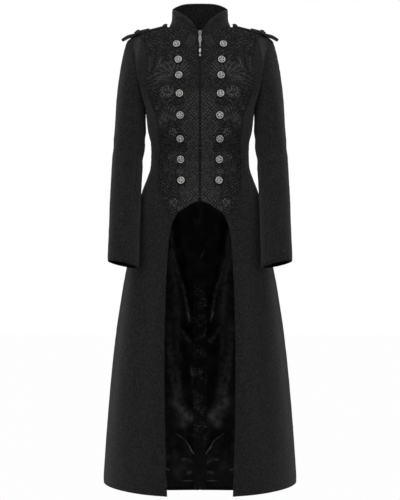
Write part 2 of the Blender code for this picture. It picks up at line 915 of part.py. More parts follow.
def build_sleeves():
    """Two-piece sleeves: the upper sleeve runs over the shoulder, the under sleeve inside."""
    over = arm_run(SLEEVE_FRONT_STEP, -SLEEVE_BACK_STEP)
    under = arm_run(SLEEVE_FRONT_STEP, 180) + arm_run(-180, -SLEEVE_BACK_STEP)[1:]
    ring = over + under[-2:0:-1]
    rows = [[body_point(*arm_place(step)) for step in ring]]
    rows += [[cap_point(step, share) for step in ring] for share in CAP_SHARES]
    rows += [[sleeve_point(step, height) for step in ring] for height in SLEEVE_ROWS]
    points = np.array(rows)
    ways = grid_ways(points, closed=True)
    centre = points.mean(axis=1, keepdims=True)
    if np.sum(ways[-1] * (points[-1] - centre[-1])) < 0:
        ways = -ways
    ways[0] = [arm_way(step) for step in ring]
    points[0, :, 0] += SEAM_GAP / 2
    upper = range(len(over))
    lower = [len(over) - 1 + i for i in range(len(under) - 1)] + [0]
    for stem, columns in (("upper_sleeve", list(upper)), ("under_sleeve", lower)):
        cut, thick = points[:, columns], ways[:, columns]
        cut = cut + edge_step(cut, thick, ("left", "right"), SLEEVE_GAP)
        cloth_pair(stem, cut, thick, SHELL, "wool")


def fold_depth(angle, height):
    """How far the lining stands off the shell there."""
    depth = 0.0
    for row in FOLDS:
        fold = dict(zip(FOLD, row))
        share = (fold["top"] - height) / (fold["top"] - fold["low"])
        rise = min(max((fold["top"] - height) / FOLD_ENDS, 0), 1)
        fall = min(max((height - fold["low"]) / FOLD_ENDS, 0), 1)
        middle = fold["top_angle"] + (fold["low_angle"] - fold["top_angle"]) * share
        off = (angle - middle) / fold["width"]
        depth = max(depth, fold["depth"] * rise * fall * math.exp(-off * off))
    return depth


def lining_angles(height):
    """Columns of the lining at a height; the last two lie under the vent facing."""
    edge = back_angle(FACING_FLAT[0], height)
    even = np.linspace(LINING_FRONT, edge, LINING_COLUMNS - 1)
    return [*even, back_angle(SEAM_GAP, height)]


def build_lining():
    """Skirt lining, each side from the front facing to the centre back."""
    points = np.zeros((LINING_ROWS, LINING_COLUMNS, 3))
    ways = np.zeros_like(points)
    for i, level in enumerate(spread_heights(HEM + LINING_HEM, LINING_TOP, LINING_ROWS)):
        share = (LINING_TOP - level) / (LINING_TOP - HEM - LINING_HEM)
        for j, angle in enumerate(lining_angles(level)):
            height = level + (hem_height(angle) - HEM) * share
            place = Place(angle, height)
            beside = (abs(place.point[0]) - FACING_FLAT[0]) / (FACING_FLAT[1] - FACING_FLAT[0])
            fold = fold_depth(angle, height) * min(max(beside, 0.0), 1.0)
            points[i, j] = place.point - place.way * (SHELL + LINING_GAP + fold)
            ways[i, j] = place.way
    cloth_pair("lining", points, ways, LINING_CLOTH, "satin")


def build_vent_facing():
    """Strip of coat cloth down the inside of the vent, over the lining."""
    depth = SHELL + LINING_GAP + LINING_CLOTH + FACING_GAP
    low = hem_height(180.0) + LINING_HEM
    points, ways = [], []
    for height in np.linspace(low, VENT_TOP, FACING_ROWS):
        angle = back_angle(FACING_HALF, height)
        row = [Place(a, height) for a in (angle, (angle + 180) / 2, 180.0)]
        right = [p.point - p.way * depth for p in row]
        points.append(right + [mirrored(p) for p in right[1::-1]])
        ways.append([p.way for p in row] + [mirrored(p.way) for p in row[1::-1]])
    mesh = wall_mesh("vent_facing", np.array(points), np.array(ways), SHELL)
    add_part("vent_facing", mesh, "wool")


def front_face(across, height):
    """Point and outward direction on the fronts or, above them, on the collar."""
    if height < neck_height(1.0):
        angle = front_angle(across, height)
        return body_point(angle, height), body_normal(angle, height)
    angle = math.degrees(math.asin(across / RIM_FRONT))
    top = read(RIM_LINE, RIM, "height", angle)
    bottom = neck_height(angle)
    point = collar_point(angle, min(1.0, (height - bottom) / (top - bottom)))
    way = np.array([math.sin(math.radians(angle)), -math.cos(math.radians(angle)), 0.0])
    return np.array([point[0], point[1], height]), way


def zip_section():
    """Half the zip across: the tape, with its row of teeth raised along the edge."""
    deep = TAPE_DEPTH + TAPE_THICK
    return (
        (ZIP_MIDDLE, deep),
        (TAPE_WIDTH, deep),
        (TAPE_WIDTH, TAPE_DEPTH),
        (ZIP_MIDDLE + TEETH_WIDTH, TAPE_DEPTH),
        (ZIP_MIDDLE + TEETH_WIDTH, TEETH_DEPTH),
        (ZIP_MIDDLE, TEETH_DEPTH),
    )


def swept_mesh(name, rings):
    """Closed solid through rings of points, with flat ends."""
    mesh = bpy.data.meshes.new(name)
    shape = bmesh.new()
    made = [[shape.verts.new(Vector(p) * MM) for p in ring] for ring in rings]
    for low, high in zip(made, made[1:]):
        for j in range(len(low)):
            k = (j + 1) % len(low)
            shape.faces.new([low[j], low[k], high[k], high[j]])
    shape.faces.new(made[0][::-1])
    shape.faces.new(made[-1])
    if shape.calc_volume(signed=True) < 0:
        bmesh.ops.reverse_faces(shape, faces=shape.faces)
    shape.to_mesh(mesh)
    shape.free()
    return mesh


def build_zip_tapes():
    rings = []
    for height in (ZIP_LOW, *FRONT_ROWS[2:], *ZIP_TOP):
        ring = []
        for across, depth in zip_section():
            point, way = front_face(across, height)
            ring.append(np.array([across, point[1] - depth / way[1], height]))
        rings.append(np.array(ring))
    add_part("zip_tape_left", swept_mesh("zip_tape_left", rings), "zip_tape")
    other = [mirrored(ring) for ring in rings]
    add_part("zip_tape_right", swept_mesh("zip_tape_right", other), "zip_tape")


def turned_mesh(name, profile, sides):
    """Solid turned about Z from a profile that runs from its top down the outer side."""
    mesh = bpy.data.meshes.new(name)
    shape = bmesh.new()
    verts = [shape.verts.new((radius * MM, 0, height * MM)) for radius, height in profile]
    edges = [shape.edges.new(pair) for pair in zip(verts, verts[1:])]
    bmesh.ops.spin(
        shape,
        geom=verts + edges,
        axis=(0, 0, 1),
        cent=(0, 0, 0),
        angle=2 * math.pi,
        steps=sides,
        use_merge=True,
    )
    bmesh.ops.remove_doubles(shape, verts=shape.verts, dist=0.00001)
    if shape.calc_volume(signed=True) < 0:
        bmesh.ops.reverse_faces(shape, faces=shape.faces)
    shape.to_mesh(mesh)
    shape.free()
    return mesh


def stand_on(part, point, way):
    """Sets a turned part on a face, its axis along the face's direction."""
    turn = Vector((0, 0, 1)).rotation_difference(Vector(way))
    part.rotation_mode = "QUATERNION"
    part.rotation_quaternion = turn
    part.location = Vector(point) * MM


def seat_height(tree, point, way):
    """Highest reach of a panel above a point, under the foot of a button."""
    side = np.array([1.0, 0.0, 0.0])
    up = unit(np.cross(way, side))
    side = np.cross(up, way)
    high = 0.0
    for turn in np.linspace(0, 2 * math.pi, 12, endpoint=False):
        foot = point + (side * math.cos(turn) + up * math.sin(turn)) * SHANK
        hit = tree.ray_cast(Vector(foot + way * 10) * MM, Vector(-way))
        high = max(high, 10 - hit[3] / MM)
    return high


def build_buttons():
    """Two rows of eight relief buttons on the damask."""
    panel = bpy.data.objects["centre_front_left"].data
    tree = BVHTree.FromPolygons([v.co for v in panel.vertices], [p.vertices for p in panel.polygons])
    for row, (across, height) in enumerate(BUTTON_PLACES, start=1):
        angle = front_angle(across, height)
        point, way = body_point(angle, height), body_normal(angle, height)
        point = point + way * seat_height(tree, point, way)
        for side, sign in (("left", 1), ("right", -1)):
            name = f"button_{side}_{row}"
            part = add_part(name, turned_mesh(name, BUTTON_PROFILE, BUTTON_SIDES), "old_silver")
            facing = np.array([sign, 1, 1])
            stand_on(part, point * facing, way * facing)


def shoulder_face(across, along):
    """Height of the coat's face at a place on top of the shoulder."""
    angle = math.degrees(math.atan2(across, -along))
    low, high = -75.0, 20.0
    for _ in range(40):
        middle = (low + high) / 2
        point = body_point(angle, middle)
        if math.hypot(point[0], point[1]) > math.hypot(across, along):
            low = middle
        else:
            high = middle
    return (low + high) / 2


def strap_grid(line, columns, rows):
    """Grid on the shoulder between the ends of a line of half widths."""
    grid = []
    for across in columns:
        half = read(line, STRAP, "half_width", across)
        drop = read(line, STRAP, "drop", across)
        row = []
        for along in np.linspace(-half, half, rows):
            height = shoulder_face(min(across, STRAP_BEND), along)
            row.append((across, along, height + drop))
        grid.append(row)
    return np.array(grid)


def raised(points, height):
    """A grid moved up square to itself, with its upward directions."""
    ways = grid_ways(points)
    ways = ways * np.sign(ways[..., 2:3])
    return points + ways * height, ways


def build_shoulder_straps():
    """Strap, overlay tab and keeper on each shoulder, with a covered button."""
    strap = strap_grid(STRAP_LINE, [row[0] for row in STRAP_LINE], 7)
    top, ways = raised(strap, STRAP_STAND + STRAP_THICK)
    cloth_pair("strap", top, ways, STRAP_THICK, "leather")

    tab = strap_grid(TAB_LINE, [row[0] for row in TAB_LINE], 5)
    top, ways = raised(tab, STRAP_STAND + STRAP_THICK + TAB_STAND + TAB_THICK)
    cloth_pair("strap_tab", top, ways, TAB_THICK, "leather")

    keeper = []
    for across in np.linspace(*KEEPER_ENDS, 3):
        row = [(across, along, shoulder_face(across, along)) for along, _ in KEEPER_PROFILE]
        keeper.append(row)
    lift = np.array([high for _, high in KEEPER_PROFILE])[None, :, None] + STRAP_STAND + KEEPER_THICK
    top, _ = raised(np.array(keeper), lift)
    _, ways = raised(top, 0.0)
    cloth_pair("strap_keeper", top, ways, KEEPER_THICK, "leather")

    height = shoulder_face(STRAP_BUTTON, 0.0)
    way = body_normal(90.0, height)
    point = np.array([STRAP_BUTTON, 0.0, height]) + way * (STRAP_STAND + STRAP_THICK)
    for side, sign in (("left", 1), ("right", -1)):
        name = f"strap_button_{side}"
        part = add_part(name, turned_mesh(name, STRAP_BUTTON_PROFILE, 14), "leather")
        facing = np.array([sign, 1, 1])
        stand_on(part, point * facing, way * facing)


def outline_mesh(name, outline, holes, thickness):
    """Flat plate facing -Y from an outline and its holes, in X and Z."""
    curve = bpy.data.curves.new(name, "CURVE")
    curve.dimensions = "2D"
    curve.fill_mode = "BOTH"
    curve.extrude = thickness / 2 * MM
    for line in (outline, *holes):
        spline = curve.splines.new("POLY")
        spline.points.add(len(line) - 1)
        for point, (x, z) in zip(spline.points, line):
            point.co = (x * MM, z * MM, 0, 1)
        spline.use_cyclic_u = True
    flat = bpy.data.objects.new(name, curve)
    flat.rotation_euler = (math.pi / 2, 0, 0)
    bpy.context.scene.collection.objects.link(flat)
    bpy.context.view_layer.update()
    ready = flat.evaluated_get(bpy.context.evaluated_depsgraph_get())
    mesh = bpy.data.meshes.new_from_object(ready)
    mesh.transform(flat.matrix_world)
    bpy.data.objects.remove(flat)
    weld(mesh)
    return mesh


def weld(mesh):
    shape = bmesh.new()
    shape.from_mesh(mesh)
    bmesh.ops.remove_doubles(shape, verts=shape.verts, dist=0.00001)
    if shape.calc_volume(signed=True) < 0:
        bmesh.ops.reverse_faces(shape, faces=shape.faces)
    shape.to_mesh(mesh)
    shape.free()


def wire_mesh(name, points, radius, closed=False):
    """Round wire along points, in millimetres."""
    curve = bpy.data.curves.new(name, "CURVE")
    curve.dimensions = "3D"
    curve.bevel_depth = radius * MM
    curve.bevel_resolution = 1
    curve.use_fill_caps = not closed
    spline = curve.splines.new("POLY")
    spline.points.add(len(points) - 1)
    for point, co in zip(spline.points, points):
        point.co = (*(Vector(co) * MM), 1)
    spline.use_cyclic_u = closed
    wire = bpy.data.objects.new(name, curve)
    bpy.context.scene.collection.objects.link(wire)
    bpy.context.view_layer.update()
    ready = wire.evaluated_get(bpy.context.evaluated_depsgraph_get())
    mesh = bpy.data.meshes.new_from_object(ready)
    bpy.data.objects.remove(wire)
    weld(mesh)
    return mesh


def join_solids(part, others):
    """Unites other meshes with a part."""
    for index, mesh in enumerate(others):
        cutter = bpy.data.objects.new(f"{part.name}_add_{index}", mesh)
        cutter.hide_render = True
        cutter.display_type = "WIRE"
        bpy.data.collections["cutters"].objects.link(cutter)
        union = part.modifiers.new(f"add_{index}", "BOOLEAN")
        union.operation = "UNION"
        union.solver = "EXACT"
        union.object = cutter
        cutter.parent = part.parent
        cutter.location = part.location


def circle(middle, radius, sides, start=0.0):
    turns = [start + 2 * math.pi * i / sides for i in range(sides)]
    return [(radius * math.sin(t), middle + radius * math.cos(t)) for t in turns]


def build_slider():
    """Slider with the bridge that holds the pull."""
    low, high = SLIDER_ENDS
    plate = bmesh.new()
    bmesh.ops.create_cube(plate, size=1)
    size = Vector((2 * SLIDER_HALF, SLIDER_THICK, high - low))
    middle = Vector((0, SLIDER_FACE + SLIDER_THICK / 2, (low + high) / 2))
    for vert in plate.verts:
        vert.co = (Vector(vert.co[i] * size[i] for i in range(3)) + middle) * MM
    uprights = [e for e in plate.edges if abs(e.verts[0].co.x - e.verts[1].co.x) < 1e-6]
    uprights = [e for e in uprights if abs(e.verts[0].co.z - e.verts[1].co.z) < 1e-6]
    bmesh.ops.bevel(plate, geom=uprights, offset=1.6 * MM, offset_type="OFFSET", segments=2,
                    profile=0.5, affect="EDGES", material=-1)
    mesh = bpy.data.meshes.new("zip_slider")
    plate.to_mesh(mesh)
    plate.free()
    weld(mesh)
    slider = add_part("zip_slider", mesh, "old_silver")
    base, top = BRIDGE_ENDS
    face, out = SLIDER_FACE + 0.8, SLIDER_FACE - BRIDGE_REACH
    path = [(0, face, base), (0, out + 1.0, base), (0, out, base + 1.0)]
    path += [(0, out, top - 1.0), (0, out + 1.0, top), (0, face, top)]
    join_solids(slider, [wire_mesh("bridge", path, BRIDGE_WIRE)])


def build_pull():
    """Pull that hinges under the bridge, and the drop that hangs from its eye."""
    hinge = bpy.data.objects.new("pull_hinge", None)
    hinge.location = (0, (SLIDER_FACE - HINGE_REACH) * MM, HINGE_HEIGHT * MM)
    hinge.rotation_euler = (-math.radians(PULL_LEAN), 0, 0)
    bpy.data.collections["military_coat"].objects.link(hinge)
    right = [(half, -drop) for drop, half in PULL_OUTLINE]
    outline = right + [(-x, z) for x, z in reversed(right)]
    (slot_top, slot_low), slot_half = PULL_SLOT
    slot = [(slot_half, -slot_top), (slot_half, -slot_low)]
    slot += [(-slot_half, -slot_low), (-slot_half, -slot_top)]
    eye = circle(-PULL_EYE[0], PULL_EYE[1], 10)
    pull = add_part("zip_pull", outline_mesh("zip_pull", outline, [slot, eye], PULL_THICK), "old_silver")
    pull.parent = hinge

    ring_radius, wire = DROP_RING
    drop_hinge = bpy.data.objects.new("drop_hinge", None)
    drop_hinge.location = (0, 0, -DROP_HINGE * MM)
    drop_hinge.rotation_euler = (-math.radians(DROP_LEAN), 0, 0)
    drop_hinge.parent = hinge
    bpy.data.collections["military_coat"].objects.link(drop_hinge)
    sides = 12
    turns = [2 * math.pi * i / sides for i in range(sides)]
    loop = [(0, ring_radius * math.sin(t), ring_radius * math.cos(t)) for t in turns]
    ring = wire_mesh("drop_ring", loop, wire, closed=True)
    drop = turned_mesh("zip_drop", DROP_PROFILE, 10)
    drop.transform(Matrix.Translation((0, 0, -(ring_radius + 0.8) * MM)))
    part = add_part("zip_drop", drop, "old_silver")
    part.parent = drop_hinge
    join_solids(part, [ring])


def build_all():
    clear_scene()
    for name in ("military_coat", "cutters"):
        bpy.context.scene.collection.children.link(bpy.data.collections.new(name))
    build_body()
    build_collar()
    build_sleeves()
    build_shoulder_straps()
    build_zip_tapes()
    build_slider()
    build_pull()
    build_buttons()
    build_lining()
    build_vent_facing()


build_all()
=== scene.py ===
"""Long military coat with a stand collar, dressed in its cloths, leather and old silver.

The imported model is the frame. Each cloth solid is replaced by a thin rounded shell on the
same form, with its folds, and small metal and sewing are added where the real coat has them.
"""

import json
import math

import bmesh
import bpy
import numpy as np
from mathutils import Matrix, Vector, kdtree, noise as wander
from mathutils.bvhtree import BVHTree

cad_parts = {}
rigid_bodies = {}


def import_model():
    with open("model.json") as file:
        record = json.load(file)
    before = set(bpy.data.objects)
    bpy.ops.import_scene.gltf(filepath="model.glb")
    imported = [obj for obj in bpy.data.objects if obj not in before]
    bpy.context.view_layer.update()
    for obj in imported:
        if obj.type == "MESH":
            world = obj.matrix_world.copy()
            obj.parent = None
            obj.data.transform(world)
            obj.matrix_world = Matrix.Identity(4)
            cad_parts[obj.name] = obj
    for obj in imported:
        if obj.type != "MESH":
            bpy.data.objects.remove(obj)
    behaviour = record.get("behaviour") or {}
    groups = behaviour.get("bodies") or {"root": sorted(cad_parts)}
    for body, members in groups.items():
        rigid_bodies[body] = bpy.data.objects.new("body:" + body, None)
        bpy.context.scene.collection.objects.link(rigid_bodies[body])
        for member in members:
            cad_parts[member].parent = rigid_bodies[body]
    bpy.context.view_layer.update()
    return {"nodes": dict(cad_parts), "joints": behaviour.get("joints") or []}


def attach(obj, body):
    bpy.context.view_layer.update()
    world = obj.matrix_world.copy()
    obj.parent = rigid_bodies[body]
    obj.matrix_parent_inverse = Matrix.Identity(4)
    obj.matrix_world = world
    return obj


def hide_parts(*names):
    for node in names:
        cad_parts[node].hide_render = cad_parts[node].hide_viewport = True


for thing in list(bpy.data.objects):
    bpy.data.objects.remove(thing)

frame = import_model()
solids = frame["nodes"]
SIDES = ("left", "right")

# Studio: a pale floor below the hem and large soft lights, one brighter on the left.
# The camera stands level with the middle of the coat, 3.6 m in front of it.
FLOOR_HEIGHT = -1.62
CAMERA_HEIGHT = -0.613
CAMERA_DISTANCE = 3.6
PHOTO_HEIGHT = 500  # pixels
METRES_PER_PIXEL = 0.00275
LIGHTS = (
    ("key_light", (-2.2, -2.9, 0.9), (1.5, 2.0), 36),
    ("fill_light", (2.3, -2.7, 0.7), (1.5, 2.0), 28),
    ("top_light", (0.0, -1.1, 1.9), (2.2, 1.2), 17),
    ("back_light_left", (-2.2, 2.4, 0.6), (1.2, 2.0), 25),
    ("back_light_right", (2.2, 2.4, 0.6), (1.2, 2.0), 25),
)


def linked(name, data):
    """A new object in the scene."""
    made = bpy.data.objects.new(name, data)
    bpy.context.scene.collection.objects.link(made)
    return made


def to_mesh(shape, name):
    """A new mesh from a finished shape."""
    mesh = bpy.data.meshes.new(name)
    shape.to_mesh(mesh)
    shape.free()
    return mesh


def show_camera(tree, usual, seen, end):
    """Shows the camera one shader, where the coat is lit by the usual one."""
    choice = tree.nodes.new("ShaderNodeMixShader")
    rays = tree.nodes.new("ShaderNodeLightPath")
    for socket, slot in zip((rays.outputs["Is Camera Ray"], usual.outputs[0], seen.outputs[0]), choice.inputs):
        tree.links.new(socket, slot)
    tree.links.new(choice.outputs[0], tree.nodes[end].inputs["Surface"])


floor = bmesh.new()
bmesh.ops.create_grid(floor, x_segments=2, y_segments=2, size=12)
bmesh.ops.translate(floor, verts=floor.verts, vec=(0, 0, FLOOR_HEIGHT))
floor_piece = linked("floor", to_mesh(floor, "floor"))
paper = bpy.data.materials.new("pale_paper")
paper.use_nodes = True
matt = paper.node_tree.nodes["Principled BSDF"]
matt.inputs["Base Color"].default_value = (0.8, 0.8, 0.8, 1)
matt.inputs["Roughness"].default_value = 0.9
glow = paper.node_tree.nodes.new("ShaderNodeEmission")
glow.inputs["Strength"].default_value = 0.985
show_camera(paper.node_tree, matt, glow, "Material Output")
floor_piece.data.materials.append(paper)

lens = bpy.data.cameras.new("camera")
lens.sensor_width = 36
lens.lens = 36 * CAMERA_DISTANCE / (METRES_PER_PIXEL * PHOTO_HEIGHT)
camera = linked("camera", lens)
camera.location = (0, -CAMERA_DISTANCE, CAMERA_HEIGHT)
camera.rotation_euler = (math.pi / 2, 0, 0)
bpy.context.scene.camera = camera
bpy.context.scene.view_settings.view_transform = "Standard"

for name, place, size, watts in LIGHTS:
    panel = bpy.data.lights.new(name, "AREA")
    panel.shape = "RECTANGLE"
    panel.size, panel.size_y = size
    panel.energy = watts
    lamp = linked(name, panel)
    lamp.location = place
    aim = Vector((0, 0, CAMERA_HEIGHT)) - Vector(place)
    lamp.rotation_euler = aim.to_track_quat("-Z", "Y").to_euler()

world = bpy.data.worlds.new("white_room")
world.use_nodes = True
dim = world.node_tree.nodes["Background"]
bright = world.node_tree.nodes.new("ShaderNodeBackground")
for light, strength in ((dim, 0.25), (bright, 1.0)):
    light.inputs["Color"].default_value = (1, 1, 1, 1)
    light.inputs["Strength"].default_value = strength
show_camera(world.node_tree, dim, bright, "World Output")
bpy.context.scene.world = world

# Coat wool: a thick looped cloth that takes the light softly, cut into the skirt fronts,
# sides, back, sleeves, armhole inserts and collar. Each shell keeps its panel's outer face,
# rounded through the panel's own points, and its edges roll in at the seams.
WOOL_THICK = 0.002
SHELL_LEVELS = 3  # how often a sheet is divided on its way to a smooth shell
SHARP_EDGE = 35  # degrees; a face of the solid ends here
SEAM_ROLL = 0.0011  # how deep the cloth rolls in at a seam, over SEAM_REACH
SEAM_REACH = 0.0045
NAP_RISE = 0.00055  # how far the looped nap lifts and sinks, over a pitch of 1 / NAP_TURNS
NAP_TURNS = 170
TURNED_EDGE = (0.0005, 0.0014)  # how far a free edge stands past its line, and how deep it is turned
SEWN_EDGE = (0.0026, 0.0024)  # the same where the edge is sewn under the next piece
SEWN_REACH = 0.0030  # an edge this near another piece is sewn to it
CAGE_REACH = 0.15  # how far a cage point may leave its place, as a share of its shortest edge
CURVES_ADD = 1.04  # a flat piece is longer than the shell is high, by its curves and folds
TAPER_ADDS = 1.12  # and wider than its mean width, by its taper
CLOTH_NODES = [
    name for name in solids
    if name.startswith(("centre_front", "side_", "back", "armhole", "upper_sleeve", "under_sleeve", "shoulder",
                        "collar"))
]
seam_lines = {}
SLEEVE_AXIS = ((-0.262, 0.0), (-0.333, -0.008), (-0.432, -0.040), (-0.580, -0.093), (-0.651, -0.116))


class Value:
    """A value in a shader: arithmetic on it adds maths nodes to its own tree."""

    def __init__(self, socket):
        self.socket, self.tree = socket, socket.id_data

    def __add__(self, other):
        return calc("ADD", self, other)

    def __sub__(self, other):
        return calc("SUBTRACT", self, other)

    def __rsub__(self, other):
        return calc("SUBTRACT", other, self)

    def __mul__(self, other):
        return calc("MULTIPLY", self, other)

    def __truediv__(self, other):
        return calc("DIVIDE", self, other)

    def __abs__(self):
        return calc("ABSOLUTE", self)


def feed(value, node, name):
    """Links a value to an input, or sets the input to a plain number or colour."""
    if isinstance(value, Value):
        value.tree.links.new(value.socket, node.inputs[name])
    else:
        node.inputs[name].default_value = value


def out(node, name):
    return Value(node.outputs[name])


def add_node(kind, *values, **settings):
    """A node with its settings, fed in order with values and numbers."""
    tree = next(value.tree for value in values if isinstance(value, Value))
    node = tree.nodes.new(kind)
    for name, setting in settings.items():
        setattr(node, name, setting)
    for index, value in enumerate(values):
        feed(value, node, index)
    return node


def calc(operation, *values, clamp=False):
    return out(add_node("ShaderNodeMath", *values, operation=operation, use_clamp=clamp), 0)


def most(*values):
    """The highest of some values."""
    highest = values[0]
    for value in values[1:]:
        highest = calc("MAXIMUM", highest, value)
    return highest


def span(value, low, high, start=0.0, end=1.0):
    """A value carried from one range to another, smoothly and without passing its ends."""
    node = add_node("ShaderNodeMapRange", value, low, high, start, end, interpolation_type="SMOOTHSTEP")
    return out(node, "Result")


def noise(place, scale, detail=2.0, roughness=0.5, result="Fac"):
    node = add_node("ShaderNodeTexNoise", place)
    for name, value in (("Scale", scale), ("Detail", detail), ("Roughness", roughness)):
        feed(value, node, name)
    return out(node, result)


def cells(place, scale, **settings):
    """Distance in a field of cells."""
    node = add_node("ShaderNodeTexVoronoi", place, **settings)
    feed(scale, node, "Scale")
    return out(node, "Distance")


def split(place):
    """The three coordinates of a place."""
    node = add_node("ShaderNodeSeparateXYZ", place)
    return [out(node, axis) for axis in "XYZ"]


def painted(tree, name):
    """A number that the piece carries on its points."""
    node = tree.nodes.new("ShaderNodeAttribute")
    node.attribute_name = name
    return out(node, "Fac")


def object_place(tree):
    return out(tree.nodes.new("ShaderNodeTexCoord"), "Object")


def new_group(name, inputs, outputs):
    """An empty node group with its sockets, the values at its inputs, and its output node."""
    group = bpy.data.node_groups.new(name, "ShaderNodeTree")
    for way, sockets in (("INPUT", inputs), ("OUTPUT", outputs)):
        for socket in sockets:
            kind = "NodeSocketVector" if socket == "Place" else "NodeSocketFloat"
            group.interface.new_socket(socket, in_out=way, socket_type=kind)
    entry = group.nodes.new("NodeGroupInput")
    return group, [out(entry, socket) for socket in inputs], group.nodes.new("NodeGroupOutput")


def new_material(name, roughness, specular, strength, distance):
    """A material with its shader, its node tree and a bump node that feeds the normal."""
    made = bpy.data.materials.new(name)
    made.use_nodes = True
    tree = made.node_tree
    shader = tree.nodes["Principled BSDF"]
    feed(roughness, shader, "Roughness")
    feed(specular, shader, "Specular IOR Level")
    bump = tree.nodes.new("ShaderNodeBump")
    feed(strength, bump, "Strength")
    feed(distance, bump, "Distance")
    feed(out(bump, "Normal"), shader, "Normal")
    return made, tree, shader, bump


def dye(shader, share, dark, light):
    """Colours a material between two shades."""
    mix = add_node("ShaderNodeMix", share, data_type="RGBA")
    for index, shade in ((6, dark), (7, light)):
        feed((*shade, 1), mix, index)
    feed(out(mix, 2), shader, "Base Color")


# Looped nap: small curls of yarn, their tops lighter and a painted shade between them, with random patches and
# clumps of tone.
nap, (place, scale), nap_out = new_group("looped_nap", ("Place", "Scale"), ("Height", "Tone"))
grown = add_node("ShaderNodeVectorMath", place, operation="SCALE")
feed(scale, grown, "Scale")
grown = out(grown, 0)
stirred = noise(grown, 160, 1, result="Color")
bent = out(add_node("ShaderNodeVectorMath", stirred, (0.006, 0.006, 0.006), grown, operation="MULTIPLY_ADD"), 0)
fibre = noise(bent, 1500, 3.0, 0.6)
patches = noise(grown, 55)
clumps = noise(grown, 215, 2.0, 0.65)
loops = span(cells(bent, 430), 0.05, 0.62, 1.0, 0.0)
feed(clumps * 1.1 + (patches * 0.5 + (fibre * 0.55 + loops)), nap_out, "Height")
# Painted shade: the tone is darker between the loops than on their tops.
shade = loops * span(fibre, 0.32, 0.72)
shade = shade * 0.55 + patches * 0.25
feed(calc("ADD", shade, span(clumps, 0.38, 0.68, 0.0, 0.65), clamp=True), nap_out, "Tone")

wool, tree, shader, bump = new_material("looped_wool", 0.94, 0.16, 0.75, 0.0011)
feed(0.10, shader, "Sheen Weight")
feed(0.55, shader, "Sheen Roughness")
cloth = add_node("ShaderNodeGroup", object_place(tree), 1.0, node_tree=nap)
# A painted highlight lightens the wool along the collar's free top edge.
tone = out(cloth, "Tone") * (painted(tree, "collar_edge_highlight") * 0.75 + 1.0)
dye(shader, tone, (0.0014, 0.0014, 0.0015), (0.0226, 0.0226, 0.0234))
feed(out(cloth, "Height"), bump, "Height")

# The wrong side of the cloths: the same black, woven flat.
backing, tree, shader, bump = new_material("cloth_back", 0.9, 0.15, 0.35, 0.0005)
cloth = add_node("ShaderNodeGroup", object_place(tree), 1.1, node_tree=nap)
dye(shader, out(cloth, "Tone"), (0.0015, 0.0015, 0.0016), (0.016, 0.016, 0.0165))
feed(out(cloth, "Height"), bump, "Height")


def core_of(name, points):
    """Where the middle of the coat or of the sleeve runs, level with each point."""
    core = points.copy()
    core[:, :2] = 0.0
    if "sleeve" in name:
        heights, lean = zip(*sorted(SLEEVE_AXIS))
        core[:, 0] = 0.2 if name.endswith("left") else -0.2
        core[:, 1] = np.interp(points[:, 2], heights, lean)
    if "strap" in name:
        core = points - np.array([0.0, 0.0, 1.0])
    return core


def sheet_of(name, inner=False, sharp=SHARP_EDGE):
    """One face of a cloth solid as a sheet of quads whose normals point out of the coat."""
    sheet = bmesh.new()
    sheet.from_mesh(solids[name].data)
    bmesh.ops.remove_doubles(sheet, verts=sheet.verts, dist=0.00002)
    bmesh.ops.join_triangles(
        sheet, faces=sheet.faces, angle_face_threshold=math.radians(50), angle_shape_threshold=math.radians(80)
    )
    sheet.normal_update()
    found, islands = set(), []
    for start in sheet.faces:
        if start in found:
            continue
        found.add(start)
        island = [start]
        for face in island:
            for edge in face.edges:
                if len(edge.link_faces) == 2 and edge.calc_face_angle() < math.radians(sharp):
                    fresh = [f for f in edge.link_faces if f not in found]
                    found.update(fresh)
                    island += fresh
        islands.append(island)
    islands.sort(key=lambda island: -sum(face.calc_area() for face in island))
    scored = []
    for island in islands[:2]:
        middles = np.array([face.calc_center_median() for face in island])
        normals = np.array([face.normal * face.calc_area() for face in island])
        scored.append((float(np.sum(normals * (middles - core_of(name, middles)))), island))
    scored.sort(key=lambda pair: pair[0])
    keep = set(scored[0 if inner else -1][1])
    bmesh.ops.delete(sheet, geom=[f for f in sheet.faces if f not in keep], context="FACES")
    if inner:
        bmesh.ops.reverse_faces(sheet, faces=sheet.faces)
    return sheet


def point_values(points, name):
    values = np.zeros(len(points) * 3)
    points.foreach_get(name, values)
    return values.reshape(-1, 3)


def mesh_points(mesh):
    return point_values(mesh.vertices, "co")


def normals_of(mesh):
    return point_values(mesh.vertex_normals, "vector")


def set_points(mesh, points):
    mesh.vertices.foreach_set("co", points.ravel())
    mesh.update()


def paint(mesh, name, values):
    """Gives each point of a mesh a number for its shader."""
    mesh.attributes.new(name, "FLOAT", "POINT").data.foreach_set("value", values)


def nearest_of(points):
    """A tree that finds the nearest of some points."""
    tree = kdtree.KDTree(len(points))
    for number, point in enumerate(points):
        tree.insert(point, number)
    tree.balance()
    return tree


def rim_edges(mesh):
    """The open edges of a sheet, as pairs of vertex numbers."""
    counts = np.zeros(len(mesh.edges), int)
    loops = np.zeros(len(mesh.loops), int)
    mesh.loops.foreach_get("edge_index", loops)
    np.add.at(counts, loops, 1)
    ends = np.zeros(len(mesh.edges) * 2, int)
    mesh.edges.foreach_get("vertices", ends)
    return ends.reshape(-1, 2)[counts == 1]


def baked(piece):
    """The piece's mesh with its modifiers applied."""
    bpy.context.view_layer.update()
    ready = piece.evaluated_get(bpy.context.evaluated_depsgraph_get())
    return bpy.data.meshes.new_from_object(ready)


